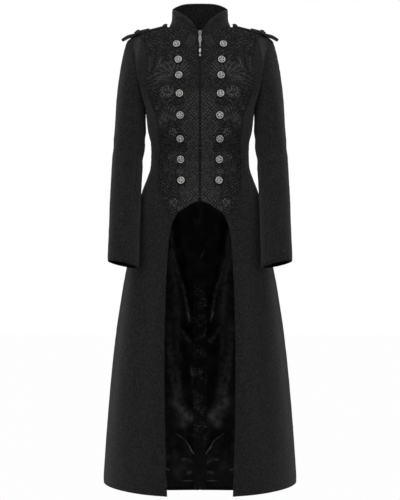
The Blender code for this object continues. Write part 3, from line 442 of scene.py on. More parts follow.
def rounded_shell(name, sheet):
    """Smooth cloth through the sheet's own points, as a new piece."""
    mesh = to_mesh(sheet, name)
    piece = linked(name, mesh)
    soft = piece.modifiers.new("rounding", "SUBSURF")
    soft.boundary_smooth = "PRESERVE_CORNERS"
    soft.levels = soft.render_levels = 1
    target = mesh_points(mesh)
    cage = target.copy()
    reach = np.full(len(target), 1.0)
    for edge in mesh.edges:
        ends = list(edge.vertices)
        reach[ends] = np.minimum(reach[ends], CAGE_REACH * float(np.linalg.norm(target[ends[0]] - target[ends[1]])))
    for ring in rim_loops(mesh):
        reach[ring] = 1.0
    for _ in range(4):
        trial = baked(piece)
        cage += target - mesh_points(trial)[: len(target)]
        far = np.linalg.norm(cage - target, axis=1)
        cage = target + (cage - target) * np.minimum(1, reach / np.maximum(far, 1e-9))[:, None]
        bpy.data.meshes.remove(trial)
        set_points(mesh, cage)
    soft.levels = soft.render_levels = SHELL_LEVELS
    fine = baked(piece)
    piece.modifiers.clear()
    piece.data = fine
    fine.name = name
    bpy.data.meshes.remove(mesh)
    return piece


def seam_distance(mesh, reach):
    """Distance of each point from the nearest edge of its sheet, up to a reach."""
    points = mesh_points(mesh)
    rim = nearest_of(points[np.unique(rim_edges(mesh))])
    return np.minimum(np.array([rim.find(point)[2] for point in points]), reach)


def crease_push(points, normals, crease):
    """How far one crease moves each point along its normal; a trough is negative."""
    view, *numbers = crease
    *ends, width, depth = (number / 1000 for number in numbers)
    start, middle, end = np.reshape(ends, (3, 2))
    axis, sign = {"front": (1, -1), "back": (1, 1), "outer": (0, 1), "inner": (0, -1)}[view]
    across = np.abs(points[:, 0]) if axis == 1 else points[:, 1]
    facing = normals[:, axis] * sign * (np.sign(points[:, 0]) if axis == 0 else 1)
    t = np.linspace(0, 1, 25)[:, None]
    path = (1 - t) ** 2 * start + 2 * t * (1 - t) * middle + t**2 * end
    flat = np.stack([across, points[:, 2]], axis=1)
    far = np.linalg.norm(flat[:, None, :] - path[None], axis=2)
    nearest = far.argmin(axis=1)
    taper = np.sin(np.pi * np.clip(t[nearest, 0], 0.02, 0.98)) ** 0.7
    return depth * np.exp(-((far.min(axis=1) / width) ** 2)) * taper * np.clip(facing * 2.5, 0, 1)


def rim_loops(mesh):
    """The open edges of a sheet, as ordered rings of vertex numbers."""
    links = {}
    for a, b in rim_edges(mesh).tolist():
        links.setdefault(a, []).append(b)
        links.setdefault(b, []).append(a)
    rings = []
    while links:
        here = next(iter(links))
        ring = [here]
        while True:
            onward = [n for n in links[here] if n in links and n not in ring[-2:]]
            fresh = [n for n in onward if n != ring[0]]
            if not fresh:
                break
            here = fresh[0]
            if here in ring:
                break
            ring.append(here)
        for number in ring:
            links.pop(number, None)
        if len(ring) > 3:
            rings.append(ring)
    return rings


def neighbours_of(name):
    """The cloth solids around one piece, to tell its sewn edges from its free ones."""
    around = bmesh.new()
    for other in CLOTH_NODES:
        if other != name:
            around.from_mesh(solids[other].data)
    surface = BVHTree.FromBMesh(around)
    around.free()
    return surface


def turn_edges(mesh, around, tucked):
    """Turns the cloth in along every edge of a sheet, and tucks it deeper where it is sewn."""
    shape = bmesh.new()
    shape.from_mesh(mesh)
    rim = [edge for edge in shape.edges if edge.is_boundary]
    ring = {vert for edge in rim for vert in edge.verts}
    normals = {vert.index: vert.normal.copy() for vert in ring}
    made = bmesh.ops.extrude_edge_only(shape, edges=rim)["geom"]
    for vert in [item for item in made if isinstance(item, bmesh.types.BMVert)]:
        others = (edge.other_vert(vert) for edge in vert.link_edges)
        root = min(others, key=lambda other: (other.co - vert.co).length)
        normal = normals[root.index]
        faces = [face for face in root.link_faces if vert not in face.verts]
        middle = sum((face.calc_center_median() for face in faces), Vector()) / max(len(faces), 1)
        away = root.co - middle
        away -= normal * away.dot(normal)
        past, deep = tucked if around.find_nearest(root.co)[3] < SEWN_REACH else TURNED_EDGE
        past = TURNED_EDGE[0] if len(faces) == 1 else past
        vert.co = root.co + away.normalized() * past - normal * deep
    shape.to_mesh(mesh)
    shape.free()


def band_cut(area, rim):
    """Width and length of the flat band that has this area and this much edge."""
    length = (rim / 2 + math.sqrt(max(rim * rim / 4 - 4 * area, 0))) / 2
    return area / length, length


def finish_cloth(piece, name, cloths, thick, rim=None):
    """The cloths, wall and body of a shell, and the size of its flat cut. A band's cut follows from its rim."""
    mesh = piece.data
    for cloth in cloths:
        mesh.materials.append(cloth)
    mesh.shade_smooth()
    wall = piece.modifiers.new("wall", "SOLIDIFY")
    wall.thickness = thick
    wall.offset = -1
    wall.material_offset = len(cloths) - 1
    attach(piece, "coat")
    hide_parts(name)
    area = sum(face.area for face in mesh.polygons)
    length = max(float(np.ptp(mesh_points(mesh)[:, 2])), math.sqrt(area)) * CURVES_ADD
    flat = band_cut(area, rim) if rim else (area / length * TAPER_ADDS, length)


def dress(name, creases, cloth, thick=WOOL_THICK, sharp=SHARP_EDGE, tucked=SEWN_EDGE):
    """The shell that stands for one cloth solid, with its folds, its wall and its cut."""
    piece = rounded_shell(name + "_cloth", sheet_of(name, sharp=sharp))
    mesh = piece.data
    points, normals = mesh_points(mesh), normals_of(mesh)
    push = -SEAM_ROLL * np.exp(-((seam_distance(mesh, 0.03) / SEAM_REACH) ** 2))
    for crease in creases:
        push = push + crease_push(points, normals, crease)
    if cloth is wool:
        push = push + NAP_RISE * np.array([wander.noise(Vector(point) * NAP_TURNS) for point in points])
    set_points(mesh, points + normals * push[:, None])
    points, rings = mesh_points(mesh), rim_loops(mesh)
    seam_lines[piece.name] = (points, normals_of(mesh), rings)
    rim = sum(float(np.linalg.norm(np.diff(points[ring + ring[:1]], axis=0), axis=1).sum()) for ring in rings)
    turn_edges(mesh, neighbours_of(name), tucked)
    finish_cloth(piece, name, (cloth, backing), thick, rim=rim if name == "collar" else None)
    return piece


# Each crease: the side it is seen from and then, in millimetres, its start, middle and end as
# distance across (or forward) and height, its half width, and how far it moves the cloth.
# A trough is negative.
SKIRT_FLUTES = (
    ("front", 128, -520, 150, -800, 172, -1200, 22, -3),
    ("front", 150, -480, 182, -780, 214, -1150, 26, 3.2),
    ("front", 100, -700, 112, -950, 120, -1220, 20, 2.2),
    ("outer", -30, -520, -50, -800, -80, -1200, 26, -3.6),
    ("outer", 30, -500, 45, -850, 70, -1220, 30, 4),
    ("back", 55, -460, 70, -800, 90, -1280, 20, -4.6),
    ("back", 28, -500, 36, -850, 42, -1240, 18, 3),
    ("back", 110, -500, 140, -850, 170, -1260, 26, 4.6),
    ("back", 140, -600, 180, -900, 215, -1200, 22, -3.8),
)
WAIST_DRAGS = (
    ("front", 122, -330, 128, -350, 138, -352, 8, -1.8),
    ("back", 20, -352, 60, -362, 105, -350, 11, -3),
    ("back", 35, -386, 70, -402, 118, -388, 12, -2.4),
    ("back", 50, -318, 84, -322, 116, -304, 10, -1.8),
    ("back", 96, -150, 110, -205, 118, -262, 14, -2.6),
    ("back", 50, -70, 90, -100, 140, -98, 18, 2),
    ("outer", -20, -300, 0, -330, 20, -352, 12, -2.2),
)
SLEEVE_FOLDS = (
    ("front", 224, -330, 200, -352, 172, -350, 13, -3),
    ("front", 232, -372, 206, -396, 180, -392, 15, -2.4),
    ("front", 168, -292, 186, -312, 206, -306, 12, -2.2),
    ("front", 172, -160, 178, -200, 170, -246, 12, -3.2),
    ("front", 190, -120, 200, -180, 198, -240, 16, 1.8),
    ("front", 200, -420, 204, -520, 206, -630, 13, 1.6),
    ("back", 225, -310, 204, -340, 176, -346, 14, -3.4),
    ("back", 230, -362, 206, -380, 182, -372, 13, -2.8),
    ("back", 176, -150, 182, -200, 174, -252, 13, -3.2),
    ("back", 214, -470, 200, -520, 180, -540, 16, -2.4),
    ("outer", -30, -330, 0, -344, 30, -326, 13, -2.2),
    ("inner", -60, -352, -30, -372, 10, -362, 14, -3.4),
    ("inner", -40, -300, -10, -316, 22, -306, 12, -2.6),
)
BODY_FOLDS = SKIRT_FLUTES + WAIST_DRAGS

for side in SIDES:
    dress(f"side_front_{side}", BODY_FOLDS, wool)
    for stem in ("side_back", "back"):
        dress(f"{stem}_{side}", BODY_FOLDS, wool, tucked=(0.0012, 0.0026))
    dress(f"armhole_insert_{side}", (), wool, tucked=(0.0008, 0.0022))
    for stem in ("upper_sleeve", "under_sleeve"):
        dress(f"{stem}_{side}", SLEEVE_FOLDS, wool)

# Stand collar: two layers of the coat wool over a stiff core, its edge turned and pressed.
COLLAR_ROLL = (
    ("front", 84, 46, 34, 16, 10, -16, 5.5, 1.6),
    ("front", 88, 30, 44, 4, 20, -24, 6, -1.2),
)
collar = dress("collar", COLLAR_ROLL, wool, thick=0.0026, sharp=42, tucked=(0.0090, 0.0042)).data
# Painted highlight: the wool is lighter along the collar's free edges, most at the top, where the nap catches the
# light.
free = np.exp(-((seam_distance(collar, 0.03) / 0.0075) ** 2))
paint(collar, "collar_edge_highlight", free * np.clip((mesh_points(collar)[:, 2] + 0.012) / 0.02, 0, 1))

# Damask fronts: a black figured cloth, alike on both sides of the zip. Feathered leaves fan
# out over small ringed blooms and glinting clusters, on a ground of stippled chevrons.
GIRTH_RADIUS = 0.118  # turns an angle round the body into distance across the cloth
BUTTON_SHADE = (0.0150, 0.0035)  # how far round a button a painted shadow darkens the cloth to its plain ground, and over how much that fades
SPRAYS = (
    # across, up, reach, lean and half spread in degrees, and strength of each feathered spray
    (0.068, -0.162, 0.070, 12, 80, 0.72),
    (0.074, -0.276, 0.050, 6, 62, 0.66),
    (0.068, -0.386, 0.044, 4, 56, 0.66),
    (0.042, -0.472, 0.040, 8, 52, 0.55),
    (0.036, -0.022, 0.050, 172, 48, 0.50),
    (0.158, -0.190, 0.125, -34, 34, 0.58),
    (0.108, -0.300, 0.052, -16, 40, 0.50),
    (0.104, -0.420, 0.060, -12, 34, 0.45),
)
BARB_PITCH = 0.0038  # between the barbs of a leaf
SPOKE_TURN = 0.20  # between the leaves of a spray, in radians
BLOOMS = (
    # across, up and radius of each bloom, which sits on a smooth dark patch
    (0.055, -0.214, 0.0095),
    (0.053, -0.338, 0.0090),
    (0.056, -0.436, 0.0090),
    (0.088, -0.350, 0.0080),
    (0.048, -0.112, 0.0085),
)
CLUSTERS = (
    # across, up and radius of each cluster of glinting dots
    (0.085, -0.190, 0.017),
    (0.074, -0.298, 0.011),
    (0.066, -0.402, 0.011),
    (0.070, -0.486, 0.012),
    (0.054, -0.502, 0.008),
    (0.108, -0.232, 0.006),
    (0.103, -0.272, 0.006),
    (0.096, -0.362, 0.007),
)

spray, (across, up, root_across, root_up, spoke, lean, spread), spray_out = new_group(
    "feathered_spray", ("Across", "Up", "Root across", "Root up", "Reach", "Lean", "Spread"), ("Mask", "Strokes")
)
across, up = across - root_across, up - root_up
cosine, sine = calc("COSINE", lean), calc("SINE", lean)
along = across * sine + up * cosine
beside = across * cosine - up * sine
reach = calc("SQRT", along * along + beside * beside)
way = calc("ARCTAN2", beside, along)
share = abs(way) / spread
far = reach / ((share * share * -0.38 + 1.0) * spoke)
bent = way + calc("SIGN", way) * (reach * -5.0)
offset = calc("PINGPONG", bent + 31.4, SPOKE_TURN / 2)
off = offset * reach
line = span(off, 0.0007, 0.0017, 1.0, 0.0)
barb = calc("PINGPONG", reach - off * 1.5, BARB_PITCH)
barbs = span(barb, BARB_PITCH * 0.35, BARB_PITCH * 0.7, 1.0, 0.0)
barbs = barbs * span(offset, SPOKE_TURN * 0.34, SPOKE_TURN * 0.46, 0.62, 0.0)
inside = span(share, 0.88, 1.0, 1.0, 0.0) * span(far, 0.84, 1.0, 1.0, 0.0) * span(far, 0.18, 0.42)
feed(inside, spray_out, "Mask")
feed(most(line, barbs) * inside, spray_out, "Strokes")

damask, tree, shader, bump = new_material("damask", 0.6, 0.10, 0.8, 0.0009)
chart = tree.nodes.new("ShaderNodeUVMap")
chart.uv_map = "chart"
chart = out(chart, "UV")
chart_right, chart_up, _ = split(chart)
sway = (noise(chart, 24, 1.0) - 0.5) * 0.005
chart_x, chart_y = chart_right + sway, chart_up - sway
figure, strokes = 0.0, 0.0
for root_across, root_up, reach, lean, spread, strength in SPRAYS:
    grown = add_node("ShaderNodeGroup", chart_x, chart_y, root_across, root_up, reach, math.radians(lean),
                     math.radians(spread), node_tree=spray)
    figure = most(figure, out(grown, "Mask"))
    strokes = most(strokes, out(grown, "Strokes") * strength)


def round_spot(across, up):
    """Distance and direction from the middle of a round figure on the cloth."""
    right, over = chart_x - across, chart_y - up
    return calc("SQRT", right * right + over * over), calc("ARCTAN2", over, right)


blooms, patches, glints = 0.0, 0.0, 0.0
for across, up, radius in BLOOMS:
    reach, way = round_spot(across, up)
    petal = abs(calc("COSINE", way * 3.0))
    line = abs(petal * (radius * 0.3) + radius * 0.7 - reach)
    heart = span(abs(reach - radius * 0.3), 0.0006, 0.0012, 1.0, 0.0)
    blooms = most(blooms, span(line, 0.0005, 0.0012, 1.0, 0.0), heart)
    patches = most(patches, span(reach, radius * 1.25, radius * 1.45, 1.0, 0.0))
for across, up, radius in CLUSTERS:
    ring = 1.0 - abs(round_spot(across, up)[0] / radius - 0.6)
    glints = most(glints, span(ring, 0.55, 0.85))
glints = glints * span(cells(chart, 230, voronoi_dimensions="2D"), 0.22, 0.34, 1.0, 0.0)
slope = chart_right * 1.05
rise = chart_up + (noise(chart, 95, 1.0) - 0.5) * 0.0075
fold = calc("PINGPONG", rise + slope, 0.0047)
cross_fold = calc("PINGPONG", rise - slope, 0.0058)
chevrons = span(fold, 0.0018, 0.0038) * span(cross_fold, 0.001, 0.0032, 0.3, 1.0)
chevrons = chevrons * span(chart_up, -0.205, -0.17, 1.0, 0.0) * span(chart_right, 0.04, 0.066, 1.0, 0.0)
picks = noise(chart, 250, 1.5, 0.6)
rows = calc("PINGPONG", chart_right * 0.7 - rise, 0.004)
dots = span(picks, 0.42, 0.62) * span(rows, 0.0008, 0.003, 0.35, 1.0)
stipple = most(chevrons * 0.86, dots * 0.46) * (1.0 - most(figure * 0.75, patches))
yarn = noise(chart, 900, 2.0, 0.7)
twill = span(calc("PINGPONG", chart_right * 1.3 + chart_up, 0.00055), 0.0001, 0.00045)
raised = most(strokes, blooms * 0.45, stipple)
glint = raised * span(picks, 0.34, 0.6, 0.45, 1.15) * span(yarn, 0.36, 0.62, 0.55, 1.0)
glint = glint * (twill * 0.75 + 0.62) * span(noise(chart, 70, 3.0, 0.6), 0.35, 0.65, 0.55, 1.25)
# Round each button a painted shadow takes the figure out and leaves the dark ground.
glint = (glint + glints * 2.0) * (1.0 - painted(tree, "button_shadow"))
# The figure's lighter colour is partly its woven pattern and partly painted glint of the yarn; the clusters' dots
# are painted glints.
dye(shader, glint, (0.0051, 0.0051, 0.0053), (0.105, 0.105, 0.108))
feed(raised * -0.15 + 0.62, shader, "Roughness")
feed(twill * 0.22 + (yarn * 0.35 + raised), bump, "Height")

DAMASK_FOLDS = (
    ("front", 20, -405, 60, -392, 100, -402, 10, -0.8),
    ("front", 118, -120, 128, -152, 130, -190, 12, -1.4),
    ("front", 70, -44, 100, -62, 135, -60, 14, -1.2),
    ("front", 86, -330, 96, -352, 106, -360, 10, -1),
)


def chart_cloth(mesh):
    """Cloth coordinates in metres: round the body from centre front, and up."""
    points = mesh_points(mesh)
    round_way = np.arctan2(np.abs(points[:, 0]), -points[:, 1]) * GIRTH_RADIUS
    layer = mesh.uv_layers.new(name="chart")
    corners = np.zeros(len(mesh.loops), int)
    mesh.loops.foreach_get("vertex_index", corners)
    layer.data.foreach_set("uv", np.stack([round_way[corners], points[corners, 2]], axis=1).ravel())


for side in SIDES:
    front = dress(f"centre_front_{side}", DAMASK_FOLDS, damask)
    chart_cloth(front.data)
    points = mesh_points(front.data)
    seats = [mesh_points(solids[f"button_{side}_{row}"].data).mean(axis=0) for row in range(1, 9)]
    away = np.min([np.linalg.norm(points - seat, axis=1) for seat in seats], axis=0)
    # A painted shadow round each button, full within 11.5 mm and fading out by 15 mm.
    paint(front.data, "button_shadow", np.clip((BUTTON_SHADE[0] - away) / BUTTON_SHADE[1], 0, 1))

# Leather-look cloth: grained and softly shining, on the shoulder wedges and the straps.
leather, tree, shader, bump = new_material("leather_cloth", 0.45, 0.34, 0.55, 0.0007)
place = object_place(tree)
pebbles = span(cells(place, 900, feature="DISTANCE_TO_EDGE"), 0.02, 0.22)
wrinkles = noise(place, 90, 3.0, 0.6)
feed(wrinkles * 1.2 + pebbles * 0.35, bump, "Height")
feed(span(wrinkles, 0.3, 0.7, 0.44, 0.6), shader, "Roughness")
dye(shader, wrinkles, (0.0066, 0.0066, 0.0068), (0.0182, 0.0182, 0.0188))

WEDGE_FOLDS = (
    ("front", 180, -40, 175, -72, 172, -112, 5.5, 2.6),
    ("front", 194, -46, 180, -60, 166, -60, 5, -1.8),
    ("front", 186, -60, 180, -76, 177, -96, 3.5, -1.4),
)
for side in SIDES:
    dress(f"shoulder_wedge_{side}", WEDGE_FOLDS, leather, thick=0.0018)

# Shoulder straps: a folded strap with a pointed overlay tab, held by a keeper loop, all
# soft at the edge and topstitched, with a leather-covered button near the collar.
def merged_copy(name, new_name):
    """A copy of a solid as one welded mesh."""
    shape = bmesh.new()
    shape.from_mesh(solids[name].data)
    bmesh.ops.remove_doubles(shape, verts=shape.verts, dist=0.00002)
    return linked(new_name, to_mesh(shape, new_name))


def turned_axis(name):
    """Seat and axis of a turned solid, from its own points."""
    points = np.unique(np.round(mesh_points(solids[name].data), 6), axis=0)
    middle = points.mean(axis=0)
    axis = np.linalg.svd(points - middle)[2][2]
    axis = -axis if (axis[2] < 0 if "strap" in name else axis[1] > 0) else axis
    reach = (points - middle) @ axis
    return middle + axis * reach.min(), axis


def put(mesh, seat, axis):
    """Moves a mesh that was made upright at the origin onto its seat."""
    turn = Vector((0, 0, 1)).rotation_difference(Vector(axis)).to_matrix().to_4x4()
    mesh.transform(Matrix.Translation(Vector(seat)) @ turn)


def turned(name, profile, sides):
    """A turned mesh from radii and heights, in metres, from the top down its outer side."""
    shape = bmesh.new()
    verts = [shape.verts.new((radius, 0, height)) for radius, height in profile]
    edges = [shape.edges.new(pair) for pair in zip(verts, verts[1:])]
    bmesh.ops.spin(shape, geom=verts + edges, axis=(0, 0, 1), cent=(0, 0, 0), angle=2 * math.pi,
                   steps=sides, use_merge=True)
    bmesh.ops.remove_doubles(shape, verts=shape.verts, dist=0.00001)
    bmesh.ops.recalc_face_normals(shape, faces=shape.faces)
    return to_mesh(shape, name)


def settle(piece, material, stands_for=None, body="coat"):
    """Gives a piece its material and its body, and hides the solid that it stands for."""
    piece.data.materials.append(material)
    piece.data.shade_smooth()
    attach(piece, body)
    if stands_for:
        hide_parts(stands_for)
    return piece


def leather_band(name):
    """A part of the strap: its own solid with soft edges."""
    piece = merged_copy(name, f"{name}_cloth")
    band = bmesh.new()
    band.from_mesh(piece.data)
    bmesh.ops.join_triangles(band, faces=band.faces, angle_face_threshold=math.radians(40),
                             angle_shape_threshold=math.radians(80))
    firm = band.edges.layers.float.new("crease_edge")
    for edge in band.edges:
        edge[firm] = 0.75 if edge.calc_face_angle(0) > math.radians(38) else 0.0
    band.to_mesh(piece.data)
    band.free()
    soft = piece.modifiers.new("rounding", "SUBSURF")
    soft.levels = soft.render_levels = 3
    return settle(piece, leather, name)


for side in SIDES:
    leather_band(f"strap_keeper_{side}")
    for stem in ("strap", "strap_tab"):
        piece = leather_band(f"{stem}_{side}")
        top = sheet_of(f"{stem}_{side}")
        area = sum(face.calc_area() for face in top.faces)
        rim = sum(edge.calc_length() for edge in top.edges if edge.is_boundary)
        bmesh.ops.subdivide_edges(top, edges=top.edges[:], cuts=3, use_grid_fill=True)
        line = to_mesh(top, f"{stem}_{side}_line")
        finished = baked(piece)
        skin = bmesh.new()
        skin.from_mesh(finished)
        surface = BVHTree.FromBMesh(skin)
        skin.free()
        bpy.data.meshes.remove(finished)
        set_points(line, np.array([surface.find_nearest(Vector(point))[0] for point in mesh_points(line)]))
        seam_lines[piece.name] = (mesh_points(line), normals_of(line), rim_loops(line))
        bpy.data.meshes.remove(line)
        band_cut(area, rim)


COVERED_PROFILE = (
    (0, 5.3), (2.2, 5.15), (4.2, 4.6), (5.9, 3.6), (7.0, 2.3), (7.3, 1.4), (7.0, 0.6), (6.2, 0.2), (0, 0.2),
)
for side in SIDES:
    mesh = turned(f"covered_button_{side}", [(r / 1000, z / 1000) for r, z in COVERED_PROFILE], 40)
    points = mesh_points(mesh)
    angle = np.arctan2(points[:, 1], points[:, 0])
    reach = np.hypot(points[:, 0], points[:, 1])
    points[:, 2] += 0.00022 * np.cos(9 * angle) * np.clip((reach - 0.0048) / 0.002, 0, 1)
    set_points(mesh, points)
    put(mesh, *turned_axis(f"strap_button_{side}"))
    settle(linked(f"covered_button_{side}", mesh), leather, f"strap_button_{side}")

# Topstitching: rows of short stitches along the edges of straps, tabs and wedges.
STITCH_PITCH = 0.0034
STITCH_LENGTH = 0.0024
STITCH_RADIUS = 0.00034
STITCH_LIFT = 0.0002
STITCH_INSET, WEDGE_INSET = 0.0026, 0.0024


def stitch_rows(name, sheets, inset):
    """Stitches along the rims of some sheets, joined in one mesh."""
    rows = bmesh.new()
    size = Matrix.Diagonal((STITCH_LENGTH, 2 * STITCH_RADIUS, 2 * STITCH_RADIUS, 1))
    for sheet in sheets:
        points, normals, rings = seam_lines[sheet.name]
        tree, middle = nearest_of(points), points.mean(axis=0)
        for ring in rings:
            line = points[ring + ring[:1]]
            steps = np.linalg.norm(np.diff(line, axis=0), axis=1)
            run = np.concatenate([[0], np.cumsum(steps)])
            for at in np.arange(0, run[-1] - STITCH_LENGTH, STITCH_PITCH):
                start, end = (
                    np.array([np.interp(place, run, line[:, axis]) for axis in range(3)])
                    for place in (at, at + STITCH_LENGTH)
                )
                mid = (start + end) / 2
                way = end - start
                way = way / max(np.linalg.norm(way), 1e-9)
                normal = normals[tree.find(mid)[1]]
                inwards = np.cross(normal, way)
                inwards = inwards * (1 if inwards @ (middle - mid) > 0 else -1)
                spot = mid + inwards * inset
                nearest, index, _ = tree.find(spot)
                normal = normals[index]
                spot = spot + normal * ((np.array(nearest) - spot) @ normal)
                turn = Matrix((way, np.cross(normal, way), normal)).transposed().to_4x4()
                place = Matrix.Translation(spot + normal * STITCH_LIFT) @ turn @ size
                bmesh.ops.create_cube(rows, size=1, matrix=place)
    piece = settle(linked(name, to_mesh(rows, name)), thread)
    rounded = piece.modifiers.new("round", "BEVEL")
    rounded.width = 0.0002
    rounded.segments = 1


thread, tree, shader, bump = new_material("black_thread", 0.5, 0.5, 0.4, 0.0002)
feed((0.02, 0.02, 0.021, 1), shader, "Base Color")
feed(noise(object_place(tree), 2600, 1.0), bump, "Height")
for side in SIDES:
    sewn = [bpy.data.objects[f"{stem}_{side}_cloth"] for stem in ("strap", "strap_tab")]
    stitch_rows(f"strap_stitches_{side}", sewn, STITCH_INSET)
    stitch_rows(f"wedge_stitches_{side}", [bpy.data.objects[f"shoulder_wedge_{side}_cloth"]], WEDGE_INSET)

# Relief buttons: cast discs of old silver with a rosette inside a twisted rope rim, bright
# on the high parts and black in the hollows.
silver, tree, shader, bump = new_material("old_silver", 0.4, 0.5, 0.25, 0.0002)
place = object_place(tree)
tarnish = (noise(place, 420, 3.0, 0.6) - 0.5) * 0.7
dark = calc("ADD", painted(tree, "hollow"), tarnish, clamp=True)
dye(shader, dark, (0.6, 0.59, 0.57), (0.006, 0.006, 0.006))
feed(dark * 0.4 + 0.24, shader, "Roughness")
feed(dark * -0.5 + 1.0, shader, "Metallic")
feed(noise(place, 1900), bump, "Height")
BUTTON_RINGS = (0, 0.6, 1.3, 2.0, 2.6, 3.3, 4.0, 4.7, 5.4, 6.1, 6.7, 7.2, 7.7, 8.2, 8.7, 9.2, 9.6, 9.9)
BUTTON_FACE = 4.1  # millimetres above the seat, as the rings' radii are millimetres
PETALS = 5


def button_relief(reach, angle):
    """Height of a button's face above its plate, in millimetres."""
    dome = 0.9 * max(0.0, 1 - (reach / 7.0) ** 2)
    boss = 1.0 * math.exp(-((reach / 1.5) ** 4))
    whorl = 0.5 + 0.5 * math.cos(PETALS * angle - 0.55 * reach)
    petals = 1.0 * whorl**1.4 * math.exp(-(((reach - 4.2) / 1.9) ** 4))
    rope = 0.85 * math.exp(-(((reach - 8.5) / 1.0) ** 4)) * (0.78 + 0.22 * math.cos(26 * angle + 2.4 * reach))
    return dome + boss + petals + rope


def relief_button(name):
    """One button, upright at the origin, with how hollow each point is."""
    face = [(reach, BUTTON_FACE) for reach in BUTTON_RINGS]
    profile = face + [(10.0, 3.7), (9.9, 3.1), (9.0, 2.5), (4.0, 1.9), (4.0, 0.3), (0, 0.3)]
    mesh = turned(name, [(r / 1000, z / 1000) for r, z in profile], 104)
    points = mesh_points(mesh)
    hollow = np.full(len(points), 0.55)
    for index, (x, y, z) in enumerate(points):
        reach = math.hypot(x, y) * 1000
        if z > (BUTTON_FACE - 0.05) / 1000:
            relief = button_relief(reach, math.atan2(y, x))
            plain = 0.9 * max(0.0, 1 - (reach / 7.0) ** 2)
            points[index, 2] = (BUTTON_FACE + relief - 0.35) / 1000
            hollow[index] = min(max(1.0 - (relief - plain) / 0.62, 0.0), 1.0)
    set_points(mesh, points)
    paint(mesh, "hollow", hollow)
    return mesh


for side in SIDES:
    for row in range(1, 9):
        name = f"relief_button_{side}_{row}"
        seat, axis = turned_axis(f"button_{side}_{row}")
        mesh = relief_button(name)
        mesh.transform(Matrix.Rotation(0.31 * row, 4, "Z"))
        put(mesh, seat - axis * 0.0003, axis)
        settle(linked(name, mesh), silver, f"button_{side}_{row}")

# Zip: woven tapes behind the fronts, a row of cast teeth locked up the middle, and a
# slider at the neck whose bridge holds the pull.
TOOTH_PITCH = 0.0029
TOOTH_SIZE = (0.0030, 0.0013, 0.0016)
tape, tree, shader, bump = new_material("zip_tape", 0.85, 0.25, 0.4, 0.0003)
feed((0.007, 0.007, 0.0075, 1), shader, "Base Color")
weave = add_node("ShaderNodeTexWave", object_place(tree), wave_type="BANDS", bands_direction="Z")
feed(420, weave, "Scale")
feed(out(weave, "Fac"), bump, "Height")
for side in SIDES:
    solids[f"zip_tape_{side}"].data.materials.clear()
    solids[f"zip_tape_{side}"].data.materials.append(tape)
gun, tree, shader, bump = new_material("dark_teeth", 0.38, 0.5, 0.2, 0.0002)
feed(1.0, shader, "Metallic")
shade = noise(object_place(tree), 900, 2.0)
dye(shader, shade, (0.006, 0.006, 0.0062), (0.03, 0.03, 0.031))
feed(shade, bump, "Height")
ridge = mesh_points(solids["zip_tape_left"].data)
ridge = ridge[ridge[:, 0] < 0.0004]
levels_of = np.unique(np.round(ridge[:, 2], 5))
face_of = np.array([ridge[np.abs(ridge[:, 2] - z) < 0.0001][:, 1].min() for z in levels_of])
teeth = bmesh.new()
for number, z in enumerate(np.arange(levels_of[0] + 0.003, levels_of[-1] - 0.002, TOOTH_PITCH / 2)):
    y = float(np.interp(z, levels_of, face_of))
    slope = float(np.interp(z + 0.004, levels_of, face_of) - np.interp(z - 0.004, levels_of, face_of)) / 0.008
    made = bmesh.ops.create_cube(teeth, size=1)["verts"]
    bmesh.ops.scale(teeth, verts=made, vec=TOOTH_SIZE)
    bmesh.ops.bevel(teeth, geom=list({e for v in made for e in v.link_edges}), offset=0.0003, segments=1,
                    profile=0.5, affect="EDGES", material=-1)
    made = [v for v in teeth.verts if v.co.length < 0.004]
    place = Matrix.Translation((0.0006 if number % 2 else -0.0006, y - 0.0001, z))
    bmesh.ops.transform(teeth, matrix=place @ Matrix.Rotation(-math.atan(slope), 4, "X"), verts=made)
settle(linked("zip_teeth", to_mesh(teeth, "zip_teeth")), gun)

for name, body, width in (("zip_slider", "coat", 0.00035), ("zip_pull", "pull", 0.0003)):
    metal = settle(merged_copy(name, name + "_metal"), silver, name, body)
    paint(metal.data, "hollow", np.full(len(metal.data.vertices), 0.55))
    metal.data.set_sharp_from_angle(angle=math.radians(35))
    edge = metal.modifiers.new("edge", "BEVEL")
    edge.width = width
    edge.segments = 2
    edge.limit_method = "ANGLE"
    edge.angle_limit = math.radians(35)

# Pull: a long link with two strands twisted round it, and a turned drop on its ring.
PULL_LEAN = math.radians(19.5)
DROP_LEAN = math.radians(22.0)
STRAND_ENDS = (0.0092, 0.0358)
STRAND_RADIUS = 0.00062
STRAND_TURNS = 3.5
PULL_RUNS = (0.0090, 0.0115, 0.016, 0.022, 0.0286, 0.0358)
PULL_WIDTHS = (0.0012, 0.0022, 0.0036, 0.0040, 0.0031, 0.0012)
joints = {joint["name"]: joint for joint in frame["joints"]}
hinge = Vector(joints["pull_hinge"]["pos_m"])
for strand in range(2):
    path = bpy.data.curves.new(f"pull_strand_{strand}", "CURVE")
    path.dimensions = "3D"
    path.bevel_depth = STRAND_RADIUS
    path.bevel_resolution = 2
    path.use_fill_caps = True
    line = path.splines.new("POLY")
    runs = np.linspace(*STRAND_ENDS, 60)
    line.points.add(len(runs) - 1)
    for point, run in zip(line.points, runs):
        share = (run - STRAND_ENDS[0]) / (STRAND_ENDS[1] - STRAND_ENDS[0])
        phase = 2 * math.pi * STRAND_TURNS * share + math.pi * strand
        wide = float(np.interp(run, PULL_RUNS, PULL_WIDTHS))
        point.co = (wide * math.cos(phase), 0.0013 * math.sin(phase), -run, 1)
    wire = linked(f"pull_strand_{strand}", path)
    mesh = baked(wire)
    bpy.data.objects.remove(wire)
    mesh.transform(Matrix.Translation(hinge) @ Matrix.Rotation(-PULL_LEAN, 4, "X"))
    paint(mesh, "hollow", np.full(len(mesh.vertices), 0.15))
    settle(linked(f"pull_strand_{strand}", mesh), silver, body="pull")

